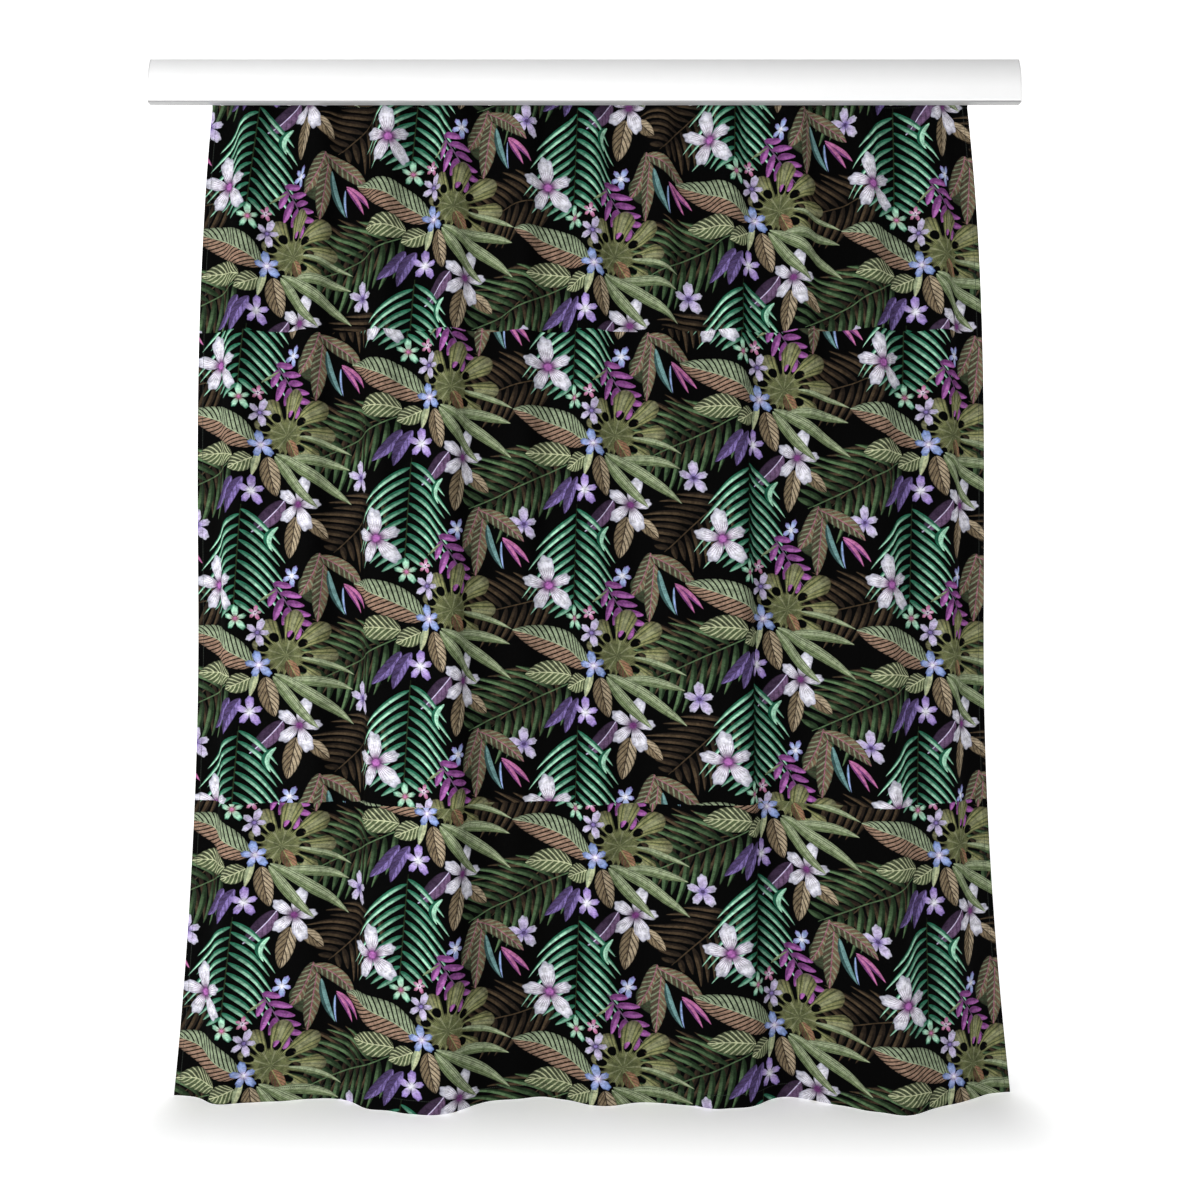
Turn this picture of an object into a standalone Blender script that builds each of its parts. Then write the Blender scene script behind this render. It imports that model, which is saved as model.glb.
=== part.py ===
"""Shower curtain on a ceiling rail.

A printed cloth hangs from twelve carriers that slide in a white rail, behind a rounded fascia.
Frame: origin on the rail's ceiling face, halfway along it; +X along the rail, -Y to the front, +Z up.
Lengths are in metres.
"""

import math

import bmesh
import bpy
import numpy as np
from mathutils import Matrix

COLLECTION = "shower_curtain"
CUTTERS = "cutters"

# Rail: an extrusion with one C-channel, seen end on in Y and Z
RAIL_LENGTH = 1.690
RAIL_BACK = 0.022
RAIL_DEPTH = 0.012  # from the ceiling down to the channel's lips
WALL = 0.002
WEB = 0.003
CHANNEL_WIDTH = 0.012
SLOT_WIDTH = 0.005
LIP = 0.002
NOSE_DEPTH = 0.0085  # front to back
NOSE_GAP = 0.0026  # behind the fascia's upper edge
TONGUE_SLOT_TOP = -0.0054
TONGUE_SLOT_HEIGHT = 0.0028
TONGUE_SLOT_DEPTH = 0.007
CEILING_HOLES = 4
CEILING_HOLE_RADIUS = 0.0023
CEILING_HOLE_INSET = 0.10

# Fascia: upright below, an arc that leans back to the ceiling above, and a lip along its foot
FASCIA_HEIGHT = 0.0920
FASCIA_REACH = 0.062  # from the track's centre to its front face
FASCIA_UPRIGHT = 0.030
FASCIA_RADIUS = 0.120
FASCIA_WALL = 0.002
FASCIA_LIP = 0.014
TONGUE = 0.002
CEILING_GAP = 0.0005

# The rail's front follows the inner face of the fascia at its upper edge
FASCIA_LEAN = FASCIA_RADIUS - math.sqrt(
    (FASCIA_RADIUS - FASCIA_WALL) ** 2
    - (FASCIA_HEIGHT - CEILING_GAP - FASCIA_WALL - FASCIA_UPRIGHT) ** 2
)
RAIL_FRONT = -FASCIA_REACH + FASCIA_LEAN + NOSE_GAP
NOSE_REAR = RAIL_FRONT + NOSE_DEPTH

# End caps
CAP_THICKNESS = 0.0025
PEG_LENGTH = 0.012
CAP_SWEEP = 0.040
TAB_DROP = (0.048, 0.066)
TAB_THICKNESS = 0.003

# Carriers: a T-shaped glider, an open ring and an eyelet
CARRIERS = 12
GLIDER_HEAD = (0.012, 0.011, 0.004)
NECK_THICKNESS = 0.0042
EYE_WIDTH = 0.010
EYE_DROP = 0.0225
EYE_RADIUS = 0.0026
RING_WIRE = 0.0013
RING_REACH = (0.009, 0.0180)  # half its width front to back, half its height
RING_GAP = math.radians(18)  # half the opening at the back
EYELET_BORE = 0.006
EYELET_FLANGE = 0.011
EYELET_WALL = 0.0008
STACK_PITCH = 0.026  # between carriers when the curtain is drawn back

# End stops
STOP_LENGTH = 0.012
STOP_BODY = (0.010, 0.009, 0.008)
STOP_SCREW_RADIUS = 0.0013
STOP_SCREW_HEAD = (0.0026, 0.0020)

# Cloth: cut flat, then hung in folds
CLOTH_WIDTH = 1.80
CLOTH_DROP = 2.00
CLOTH_THICKNESS = 0.001
SIDE_MARGIN = 0.020  # from a side edge to the nearest eyelet
HEADER_RISE = 0.016  # from an eyelet's centre up to the top edge
HEADER_HEIGHT = 0.034
FLAT_HALF = 0.014  # the cloth is flat this far to each side of an eyelet
TOP_HUNG_WIDTH = 1.502
HEM_HUNG_WIDTH = 1.676
WAIST = 0.40  # share of the flare that is reached at half the drop
TOP_OFFSET = 0.010  # how far right of the rail's middle the cloth hangs
HEM_OFFSET = 0.017
FOLD_SETTLES = 0.70  # share of the drop over which the header's bows become the hem's waves
# Hem waves: (share of the width, metres behind the hook line) at each crest and trough
HEM_WAVES = (
    (0.000, 0.010), (0.080, -0.028), (0.165, -0.002), (0.300, -0.076), (0.424, 0.004),
    (0.520, -0.034), (0.575, -0.020), (0.640, -0.052), (0.728, 0.000), (0.846, -0.073),
    (1.000, 0.024),
)

# Header tape, hem and the weight cord inside it
TAPE_THICKNESS = 0.001
TAPE_INSET = 0.002
CORD_RADIUS = 0.002
HEM_HEIGHT = 0.030
HEM_BEND = 0.0026

CLEARANCE = 0.0003
SEGMENTS_PER_BOW = 8
HOLE_SIDES = 12
RING_STEPS = 18
INTEGRAL_STEPS = 1801

MATERIALS = {
    "white_pvc": ((0.86, 0.86, 0.87), 0.35, 0.0),
    "white_nylon": ((0.80, 0.80, 0.79), 0.45, 0.0),
    "steel": ((0.62, 0.62, 0.63), 0.25, 1.0),
    "printed_cloth": ((0.06, 0.09, 0.06), 0.80, 0.0),
    "header_tape": ((0.82, 0.82, 0.80), 0.85, 0.0),
    "weight_cord": ((0.70, 0.70, 0.70), 0.80, 0.0),
}


def clear_scene():
    """Removes every object, so that the file can be run again."""
    for obj in list(bpy.data.objects):
        bpy.data.objects.remove(obj, do_unlink=True)


def collection(name):
    """The named collection, linked to the scene."""
    found = bpy.data.collections.get(name) or bpy.data.collections.new(name)
    if name not in bpy.context.scene.collection.children:
        bpy.context.scene.collection.children.link(found)
    return found


def material(name):
    """A Principled material with the values in MATERIALS."""
    found = bpy.data.materials.get(name)
    if found:
        return found
    colour, roughness, metallic = MATERIALS[name]
    found = bpy.data.materials.new(name)
    found.use_nodes = True
    shader = found.node_tree.nodes["Principled BSDF"]
    shader.inputs["Base Color"].default_value = (*colour, 1)
    shader.inputs["Roughness"].default_value = roughness
    shader.inputs["Metallic"].default_value = metallic
    return found


def add_object(name, data, finish=None, place=None):
    """A new object in the part's collection, with its finish and its place."""
    obj = bpy.data.objects.new(name, data)
    collection(COLLECTION).objects.link(obj)
    if finish and not data.materials:
        data.materials.append(material(finish))
    if place:
        obj.location = place
    return obj


def flat_outline(name, points, thickness):
    """Curve data: a filled outline in its own XY plane, as thick as stated and centred on it."""
    data = bpy.data.curves.new(name, "CURVE")
    data.dimensions = "2D"
    data.fill_mode = "BOTH"
    data.extrude = thickness / 2
    spline = data.splines.new("POLY")
    spline.points.add(len(points) - 1)
    for target, (across, up) in zip(spline.points, points):
        target.co = (across, up, 0, 1)
    spline.use_cyclic_u = True
    return data


def as_mesh(obj):
    """Swaps a curve object for a mesh of the same shape, with its caps welded on."""
    bpy.context.view_layer.update()
    evaluated = obj.evaluated_get(bpy.context.evaluated_depsgraph_get())
    data = bpy.data.meshes.new_from_object(evaluated)
    name, place = obj.name, obj.matrix_world.copy()
    bpy.data.objects.remove(obj, do_unlink=True)
    shape = bmesh.new()
    shape.from_mesh(data)
    bmesh.ops.remove_doubles(shape, verts=shape.verts, dist=1e-6)
    shape.to_mesh(data)
    shape.free()
    data.name = name
    made = add_object(name, data)
    made.matrix_world = place
    return made


def along_rail(name, points, start, end, finish):
    """A solid with the outline points in Y and Z, running from start to end in X."""
    data = flat_outline(name, points, end - start)
    obj = add_object(name, data, finish, ((start + end) / 2, 0, 0))
    obj.rotation_euler = (math.pi / 2, 0, math.pi / 2)
    return as_mesh(obj)


def facing_front(name, points, thickness, finish, place=(0, 0, 0)):
    """A solid with the outline points in X and Z, centred in Y on place."""
    obj = add_object(name, flat_outline(name, points, thickness), finish, place)
    obj.rotation_euler = (math.pi / 2, 0, 0)
    return as_mesh(obj)


def box(name, low, high, finish=None):
    """An upright box between two corners."""
    data = bpy.data.meshes.new(name)
    shape = bmesh.new()
    size = [b - a for a, b in zip(low, high)]
    middle = [(a + b) / 2 for a, b in zip(low, high)]
    bmesh.ops.create_cube(shape, size=1, matrix=Matrix.Diagonal((*size, 1)))
    shape.to_mesh(data)
    shape.free()
    return add_object(name, data, finish, middle)


def cylinder(name, radius, low, high, axis, sides, finish=None, top_radius=None):
    """A cylinder or cone from point low, along the axis Y or Z, to coordinate high."""
    data = bpy.data.meshes.new(name)
    along = "XYZ".index(axis)
    length = high - low[along]
    shape = bmesh.new()
    bmesh.ops.create_cone(
        shape, cap_ends=True, segments=sides, radius1=radius,
        radius2=radius if top_radius is None else top_radius, depth=length,
    )
    if axis == "Y":
        bmesh.ops.rotate(shape, verts=shape.verts, matrix=Matrix.Rotation(-math.pi / 2, 3, "X"))
    shape.to_mesh(data)
    shape.free()
    middle = list(low)
    middle[along] += length / 2
    return add_object(name, data, finish, middle)


def combine(obj, others, operation):
    """Adds a Boolean with each other object, and puts the others away with the cutters."""
    for other in others:
        modifier = obj.modifiers.new(operation.lower(), "BOOLEAN")
        modifier.operation = operation
        modifier.solver = "EXACT"
        modifier.object = other
        for home in list(other.users_collection):
            home.objects.unlink(other)
        collection(CUTTERS).objects.link(other)
        other.hide_render = True
        other.display_type = "WIRE"
    return obj


def baked_mesh(obj):
    """The object's mesh with its modifiers applied, to be shared by copies."""
    bpy.context.view_layer.update()
    data = bpy.data.meshes.new_from_object(obj.evaluated_get(bpy.context.evaluated_depsgraph_get()))
    data.transform(obj.matrix_world)
    data.name = obj.name
    bpy.data.objects.remove(obj, do_unlink=True)
    return data


# The cloth's shape


def flats(radius):
    """Distance from the axis to the flats of a round hole of HOLE_SIDES sides."""
    return radius * math.cos(math.pi / HOLE_SIDES)


def eyelet_reach():
    """How far an eyelet reaches to the front and to the back of the cloth's middle."""
    front = CLOTH_THICKNESS / 2 + CLEARANCE
    return front + EYELET_WALL, front + TAPE_THICKNESS + CLEARANCE + EYELET_WALL


def ring_rise(reach):
    """How far the ring's wire bends away from its top or foot by that distance to one side."""
    deep, tall = RING_REACH
    bend = math.asin(reach / deep)
    slope = math.atan(tall / deep * math.tan(bend))
    return tall * (1 - math.cos(bend)) + RING_WIRE / math.cos(slope) + CLEARANCE


def ring_top():
    """How far below the ceiling a ring's top lies, on the lower edge of the glider's eye."""
    return EYE_DROP + flats(EYE_RADIUS) - ring_rise(NECK_THICKNESS / 2)


def eyelet_drop():
    """How far below the ceiling an eyelet's centre lies, its bore hanging on the ring's foot."""
    return ring_top() + 2 * RING_REACH[1] - ring_rise(max(eyelet_reach())) + flats(EYELET_BORE)


def cloth_top():
    """Height of the cloth's top edge."""
    return HEADER_RISE - eyelet_drop()


def eyelet_spacing():
    """Distance between eyelets on the flat cloth."""
    return (CLOTH_WIDTH - 2 * SIDE_MARGIN) / (CARRIERS - 1)


def smoothstep(value):
    """0 below 0, 1 above 1, and an even S between."""
    value = np.clip(value, 0.0, 1.0)
    return value * value * (3 - 2 * value)


def header_bows(flat):
    """Depth of the header: 0 at each eyelet, and one unit to the front between two of them."""
    spacing = eyelet_spacing()
    within = np.mod(flat - SIDE_MARGIN, spacing)
    share = (within - FLAT_HALF) / (spacing - 2 * FLAT_HALF)
    inside = (flat > SIDE_MARGIN) & (flat < CLOTH_WIDTH - SIDE_MARGIN) & (share > 0) & (share < 1)
    return np.where(inside, -np.sin(math.pi * np.clip(share, 0, 1)) ** 2, 0.0)


def hem_waves(flat):
    """Depth of the hem: a half cosine from each crest or trough in HEM_WAVES to the next."""
    places = np.array([share * CLOTH_WIDTH for share, _ in HEM_WAVES])
    depths = np.array([depth for _, depth in HEM_WAVES])
    index = np.clip(np.searchsorted(places, flat, side="right") - 1, 0, len(places) - 2)
    share = (flat - places[index]) / (places[index + 1] - places[index])
    rise = (1 - np.cos(math.pi * np.clip(share, 0, 1))) / 2
    return depths[index] + (depths[index + 1] - depths[index]) * rise


def hung_width(drop_share):
    """Width between the side edges: quick flare below the header, even middle, flare at the hem."""
    below = 2 * drop_share - 1
    flare = WAIST * (1 + below**3) if below < 0 else WAIST + (1 - WAIST) * below**2
    return TOP_HUNG_WIDTH + (HEM_HUNG_WIDTH - TOP_HUNG_WIDTH) * flare


def hung_row(height):
    """(flat, x, y) along one level of the hung cloth.

    The depth mixes the header's bows with the hem's waves. The bows are then scaled so that the
    cloth keeps its cut width along the row while its side edges stand hung_width apart.
    """
    top = cloth_top() - HEADER_HEIGHT
    bottom = cloth_top() - CLOTH_DROP
    share = min(max((top - height) / (top - bottom), 0.0), 1.0)
    flat = np.linspace(0, CLOTH_WIDTH, INTEGRAL_STEPS)
    step = flat[1] - flat[0]
    settled = float(smoothstep(share / FOLD_SETTLES))
    width = float(hung_width(share))
    waves = hem_waves(flat) * settled

    def laid_out(bow):
        depth = header_bows(flat) * bow + waves
        slope = np.diff(depth) / step
        across = np.sqrt(np.maximum(1 - slope**2, 0.05)) * step
        return depth, np.concatenate([[0.0], np.cumsum(across)])

    low, high = 0.0, eyelet_spacing() / 2
    for _ in range(40):
        bow = (low + high) / 2
        depth, across = laid_out(bow)
        if across[-1] > width:
            low = bow
        else:
            high = bow
    centre = TOP_OFFSET + (HEM_OFFSET - TOP_OFFSET) * share
    return flat, across - across[-1] / 2 + centre, depth


def column_places():
    """Flat positions of the cloth's columns: the edges, and even steps through each bow."""
    spacing = eyelet_spacing()
    bow = spacing - 2 * FLAT_HALF
    places = [0.0, SIDE_MARGIN - FLAT_HALF]
    for gap in range(CARRIERS - 1):
        start = SIDE_MARGIN + gap * spacing + FLAT_HALF
        places += [start + bow * k / SEGMENTS_PER_BOW for k in range(SEGMENTS_PER_BOW + 1)]
    return np.array(places + [CLOTH_WIDTH - SIDE_MARGIN + FLAT_HALF, CLOTH_WIDTH])


def row_points(height, places, behind=0.0):
    """Points of one level at the given flat positions, moved behind the cloth's middle surface."""
    flat, x, y = hung_row(height)
    run, rise = np.gradient(x, flat), np.gradient(y, flat)
    length = np.hypot(run, rise)
    x, y = x - behind * rise / length, y + behind * run / length
    found = zip(np.interp(places, flat, x), np.interp(places, flat, y))
    return [(float(a), float(b)) for a, b in found]


def carrier_places():
    """X of each carrier on the rail."""
    spacing = eyelet_spacing()
    places = [SIDE_MARGIN + spacing * index for index in range(CARRIERS)]
    return [x for x, _ in row_points(-eyelet_drop(), places)]


def sheet_mesh(name, rows, places, thickness, finish):
    """A thin solid over rows of (height, behind), each as wide as the places along the cloth."""
    points, faces = [], []
    for height, behind in rows:
        points += [(x, y, height) for x, y in row_points(height, places, behind)]
    width = len(places)
    for row in range(len(rows) - 1):
        for column in range(width - 1):
            corner = row * width + column
            faces.append((corner, corner + width, corner + width + 1, corner + 1))
    data = bpy.data.meshes.new(name)
    data.from_pydata(points, [], faces)
    obj = add_object(name, data, finish)
    solidify = obj.modifiers.new("thickness", "SOLIDIFY")
    solidify.thickness = thickness
    solidify.offset = 0
    return obj


def eyelet_cutters(name, places):
    """A row of cylinders that clear the eyelets' tubes."""
    radius = EYELET_BORE + EYELET_WALL + CLEARANCE
    reach = 4 * EYELET_WALL
    return [
        cylinder(f"{name}_{index + 1:02d}", radius, (x, -reach, -eyelet_drop()), reach, "Y", HOLE_SIDES)
        for index, x in enumerate(places)
    ]


def make_cloth(places):
    """The printed cloth, with its hem turned up behind to make a tunnel for the weight cord."""
    top = cloth_top()
    bottom = top - CLOTH_DROP
    tunnel = CLOTH_THICKNESS + 2 * CLEARANCE + 2 * CORD_RADIUS
    fall = bottom + CLOTH_THICKNESS / 2
    rows = [(top, 0), (top - HEADER_HEIGHT, 0)]
    rows += [(top - CLOTH_DROP * share, 0) for share in (0.09, 0.2, 0.32, 0.45, 0.6, 0.75, 0.88)]
    rows += [(fall + HEM_HEIGHT, 0), (fall + HEM_BEND, 0), (fall, tunnel / 4)]
    rows += [(fall, tunnel * 3 / 4), (fall + HEM_BEND, tunnel), (fall + HEM_HEIGHT * 0.8, tunnel)]
    rows += [(fall + HEM_HEIGHT, CLOTH_THICKNESS + 2 * CLEARANCE)]
    cloth = sheet_mesh("curtain_cloth", rows, column_places(), CLOTH_THICKNESS, "printed_cloth")
    combine(cloth, eyelet_cutters("cloth_hole", places), "DIFFERENCE")


def make_header_tape(places):
    """The tape that stiffens the header, sewn behind the cloth."""
    top = cloth_top() - TAPE_INSET
    behind = CLOTH_THICKNESS / 2 + CLEARANCE + TAPE_THICKNESS / 2
    rows = [(top, behind), (top - HEADER_HEIGHT + 2 * TAPE_INSET, behind)]
    columns = column_places()
    columns[[0, -1]] += (TAPE_INSET, -TAPE_INSET)
    tape = sheet_mesh("header_tape", rows, columns, TAPE_THICKNESS, "header_tape")
    combine(tape, eyelet_cutters("tape_hole", places), "DIFFERENCE")


def make_weight_cord():
    """The weighted cord that runs through the hem's tunnel."""
    height = cloth_top() - CLOTH_DROP + CLOTH_THICKNESS + CORD_RADIUS + 4 * CLEARANCE
    behind = CLOTH_THICKNESS / 2 + CLEARANCE + CORD_RADIUS
    places = column_places()
    places[[0, -1]] += (TAPE_INSET, -TAPE_INSET)
    data = bpy.data.curves.new("hem_weight_cord", "CURVE")
    data.dimensions = "3D"
    data.bevel_depth = CORD_RADIUS
    data.bevel_resolution = 2
    data.use_fill_caps = True
    spline = data.splines.new("POLY")
    spline.points.add(len(places) - 1)
    for target, (x, y) in zip(spline.points, row_points(height, places, behind)):
        target.co = (x, y, height, 1)
    add_object("hem_weight_cord", data, "weight_cord")


# The rail, its fascia and its ends


def rail_outline():
    """The extrusion: a web, a C-channel, a back flange and a nose that grips the fascia."""
    channel, slot = CHANNEL_WIDTH / 2, SLOT_WIDTH / 2
    low, lip = -RAIL_DEPTH, -RAIL_DEPTH + LIP
    slot_end = RAIL_FRONT + TONGUE_SLOT_DEPTH
    slot_low = TONGUE_SLOT_TOP - TONGUE_SLOT_HEIGHT
    return [
        (RAIL_FRONT, 0), (RAIL_BACK, 0), (RAIL_BACK, low), (RAIL_BACK - WALL, low),
        (RAIL_BACK - WALL, -WEB), (channel + WALL, -WEB), (channel + WALL, low), (slot, low),
        (slot, lip), (channel, lip), (channel, -WEB), (-channel, -WEB), (-channel, lip),
        (-slot, lip), (-slot, low), (-channel - WALL, low), (-channel - WALL, -WEB),
        (NOSE_REAR, -WEB), (NOSE_REAR, slot_low - WEB), (RAIL_FRONT, slot_low - WEB),
        (RAIL_FRONT, slot_low), (slot_end, slot_low), (slot_end, TONGUE_SLOT_TOP),
        (RAIL_FRONT, TONGUE_SLOT_TOP),
    ]


def make_rail():
    """The rail, with countersunk holes behind the channel for screws into the ceiling."""
    rail = along_rail("rail_profile", rail_outline(), -RAIL_LENGTH / 2, RAIL_LENGTH / 2, "white_pvc")
    row = (CHANNEL_WIDTH / 2 + WALL + RAIL_BACK - WALL) / 2
    span = RAIL_LENGTH - 2 * CEILING_HOLE_INSET
    holes = []
    for index in range(CEILING_HOLES):
        x = -span / 2 + span * index / (CEILING_HOLES - 1)
        holes.append(cylinder(
            f"ceiling_hole_{index + 1}", 2 * CEILING_HOLE_RADIUS, (x, row, -WEB - CEILING_GAP),
            CEILING_GAP, "Z", HOLE_SIDES, top_radius=CEILING_HOLE_RADIUS,
        ))
    combine(rail, holes, "DIFFERENCE")


def fascia_arc(radius, low, high, count):
    """Points on the fascia's face of that radius, from height low to height high."""
    centre = -FASCIA_REACH + FASCIA_RADIUS
    level = -FASCIA_HEIGHT + FASCIA_UPRIGHT
    first = math.asin(max(low - level, 0) / radius)
    last = math.asin(max(high - level, 0) / radius)
    turns = [first + (last - first) * k / count for k in range(count + 1)]
    points = [(centre - radius, low)] if low < level else []
    if last > 0:
        points += [(centre - radius * math.cos(t), level + radius * math.sin(t)) for t in turns]
    else:
        points.append((centre - radius, high))
    return points


def make_fascia():
    """The front cover, held by a tongue in the rail's nose."""
    inner = FASCIA_RADIUS - FASCIA_WALL
    tongue_top = TONGUE_SLOT_TOP - (TONGUE_SLOT_HEIGHT - TONGUE) / 2
    tongue_end = RAIL_FRONT + TONGUE_SLOT_DEPTH - 0.001
    lip_end = -FASCIA_REACH + FASCIA_LIP
    points = fascia_arc(FASCIA_RADIUS, -FASCIA_HEIGHT, -CEILING_GAP, 12)
    points += fascia_arc(inner, tongue_top, -CEILING_GAP - FASCIA_WALL, 2)[::-1]
    points += [(tongue_end, tongue_top), (tongue_end, tongue_top - TONGUE)]
    points += fascia_arc(inner, -FASCIA_HEIGHT + FASCIA_WALL, tongue_top - TONGUE, 12)[::-1]
    points += [(lip_end, -FASCIA_HEIGHT + FASCIA_WALL), (lip_end, -FASCIA_HEIGHT)]
    along_rail("fascia_cover", points, -RAIL_LENGTH / 2, RAIL_LENGTH / 2, "white_pvc")


def cap_outline():
    """The end caps' outline: the fascia's arc in front, and a hollow sweep up to the rail behind."""
    points = fascia_arc(FASCIA_RADIUS, -FASCIA_HEIGHT, -CEILING_GAP, 12)
    points += [(RAIL_BACK, -CEILING_GAP), (RAIL_BACK, -RAIL_DEPTH)]
    start = -FASCIA_REACH + FASCIA_LIP
    rise = FASCIA_HEIGHT - RAIL_DEPTH - WALL
    for k in range(8, -1, -1):
        turn = math.pi / 2 * k / 8
        points.append((start + CAP_SWEEP * (1 - math.cos(turn)), -FASCIA_HEIGHT + rise * math.sin(turn)))
    return points


def make_end_cap(name, side):
    """A cap on the end at +X (side 1) or -X (side -1), with two pegs that reach inside."""
    face = side * (RAIL_LENGTH / 2 + CLEARANCE)
    outer = face + side * CAP_THICKNESS
    cap = along_rail(name, cap_outline(), min(face, outer), max(face, outer), "white_pvc")
    inner = side * (RAIL_LENGTH / 2 - PEG_LENGTH)
    middle = (face + outer) / 2
    ends = min(inner, middle), max(inner, middle)
    chamber = CHANNEL_WIDTH / 2 + WALL + CLEARANCE, RAIL_BACK - WALL - CLEARANCE
    peg = box(
        f"{name}_peg", (ends[0], chamber[0], -RAIL_DEPTH + CLEARANCE),
        (ends[1], chamber[1], -WEB - CLEARANCE),
    )
    arc = fascia_arc(FASCIA_RADIUS - FASCIA_WALL, -TAB_DROP[1], -TAB_DROP[0], 1)
    front = max(y for y, _ in arc) + CLEARANCE
    tab = box(
        f"{name}_tab", (ends[0], front, -TAB_DROP[1]), (ends[1], front + TAB_THICKNESS, -TAB_DROP[0])
    )
    combine(cap, [peg, tab], "UNION")


# Carriers and end stops


def glider_mesh():
    """A glider at X 0: its head runs in the channel and its eye hangs below the slot."""
    length, width, height = GLIDER_HEAD
    low = -RAIL_DEPTH + LIP + CLEARANCE
    head = box(
        "glider_head", (-length / 2, -width / 2, low), (length / 2, width / 2, low + height), "white_nylon"
    )
    half = EYE_WIDTH / 2
    points = [(half, low + height / 2), (-half, low + height / 2)]
    for k in range(9):
        turn = math.pi + math.pi * k / 8
        points.append((half * math.cos(turn), -EYE_DROP + half * math.sin(turn)))
    eye = facing_front("glider_eye", points, NECK_THICKNESS, "white_nylon")
    reach = NECK_THICKNESS
    hole = cylinder("glider_hole", EYE_RADIUS, (0, -reach, -EYE_DROP), reach, "Y", HOLE_SIDES)
    combine(head, [eye], "UNION")
    combine(head, [hole], "DIFFERENCE")
    return baked_mesh(head)


def ring_curve():
    """An open oval ring at X 0, in the YZ plane, through a glider's eye and an eyelet."""
    data = bpy.data.curves.new("ring", "CURVE")
    data.dimensions = "3D"
    data.bevel_depth = RING_WIRE
    data.bevel_resolution = 2
    data.use_fill_caps = True
    spline = data.splines.new("POLY")
    spline.points.add(RING_STEPS)
    deep, tall = RING_REACH
    for k, target in enumerate(spline.points):
        turn = RING_GAP + (2 * math.pi - 2 * RING_GAP) * k / RING_STEPS
        target.co = (0, deep * math.cos(turn), -ring_top() - tall + tall * math.sin(turn), 1)
    data.materials.append(material("steel"))
    return data


def eyelet_mesh():
    """A two-sided eyelet turned about Z, at its own origin: bore, tube and two flanges."""
    front, back = eyelet_reach()
    tube = EYELET_BORE + EYELET_WALL
    profile = [
        (EYELET_BORE, front), (EYELET_FLANGE, front), (EYELET_FLANGE, front - EYELET_WALL),
        (tube, front - EYELET_WALL), (tube, EYELET_WALL - back), (EYELET_FLANGE, EYELET_WALL - back),
        (EYELET_FLANGE, -back), (EYELET_BORE, -back),
    ]
    count = len(profile)
    data = bpy.data.meshes.new("eyelet")
    data.from_pydata([(r, 0, z) for r, z in profile], [(k, (k + 1) % count) for k in range(count)], [])
    obj = add_object("eyelet", data, "steel")
    screw = obj.modifiers.new("turn", "SCREW")
    screw.steps = screw.render_steps = HOLE_SIDES + 2
    screw.use_merge_vertices = True
    screw.merge_threshold = 1e-5
    return baked_mesh(obj)


def make_carriers(places):
    """Twelve carriers that share one glider, one ring and one eyelet mesh."""
    glider, ring, eyelet = glider_mesh(), ring_curve(), eyelet_mesh()
    for index, x in enumerate(places):
        number = f"{index + 1:02d}"
        add_object(f"glider_{number}", glider, place=(x, 0, 0))
        add_object(f"ring_{number}", ring, place=(x, 0, 0))
        placed = add_object(f"eyelet_{number}", eyelet, place=(x, 0, -eyelet_drop()))
        placed.rotation_euler = (math.pi / 2, 0, 0)


def make_end_stop(name, x):
    """A stop locked in the channel by a screw that pushes up against the web."""
    length, width, height = STOP_LENGTH, GLIDER_HEAD[1], GLIDER_HEAD[2]
    low = -RAIL_DEPTH + LIP + CLEARANCE
    stop = box(
        name, (x - length / 2, -width / 2, low), (x + length / 2, width / 2, low + height), "white_nylon"
    )
    neck = NECK_THICKNESS / 2
    below = -RAIL_DEPTH - CLEARANCE
    bridge = box(
        f"{name}_neck", (x - length / 3, -neck, below - LIP), (x + length / 3, neck, low + height / 2)
    )
    body_x, body_y, body_z = STOP_BODY
    body = box(
        f"{name}_body", (x - body_x / 2, -body_y / 2, below - body_z), (x + body_x / 2, body_y / 2, below)
    )
    foot = below - body_z
    hole = cylinder(
        f"{name}_hole", STOP_SCREW_RADIUS + CLEARANCE, (x, 0, foot - LIP), 0, "Z", HOLE_SIDES
    )
    combine(stop, [bridge, body], "UNION")
    combine(stop, [hole], "DIFFERENCE")
    head_radius, head_height = STOP_SCREW_HEAD
    head_top = foot - CLEARANCE
    screw = cylinder(
        f"{name}_screw", head_radius, (x, 0, head_top - head_height), head_top, "Z", HOLE_SIDES, "steel"
    )
    shank = cylinder(
        f"{name}_shank", STOP_SCREW_RADIUS, (x, 0, head_top - head_height / 2), -WEB - CLEARANCE,
        "Z", HOLE_SIDES,
    )
    slot = box(
        f"{name}_slot", (x - head_radius * 2, -LIP / 6, head_top - head_height * 2),
        (x + head_radius * 2, LIP / 6, head_top - head_height * 0.6),
    )
    combine(screw, [shank], "UNION")
    combine(screw, [slot], "DIFFERENCE")


def main():
    clear_scene()
    places = carrier_places()
    make_rail()
    make_fascia()
    make_end_cap("end_cap_left", -1)
    make_end_cap("end_cap_right", 1)
    make_carriers(places)
    beside = (GLIDER_HEAD[0] + STOP_LENGTH) / 2 + CLEARANCE
    make_end_stop("end_stop_left", places[0] - beside)
    make_end_stop("end_stop_right", places[-1] + beside)
    make_cloth(places)
    make_header_tape(places)
    make_weight_cord()


main()
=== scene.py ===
import math

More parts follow.
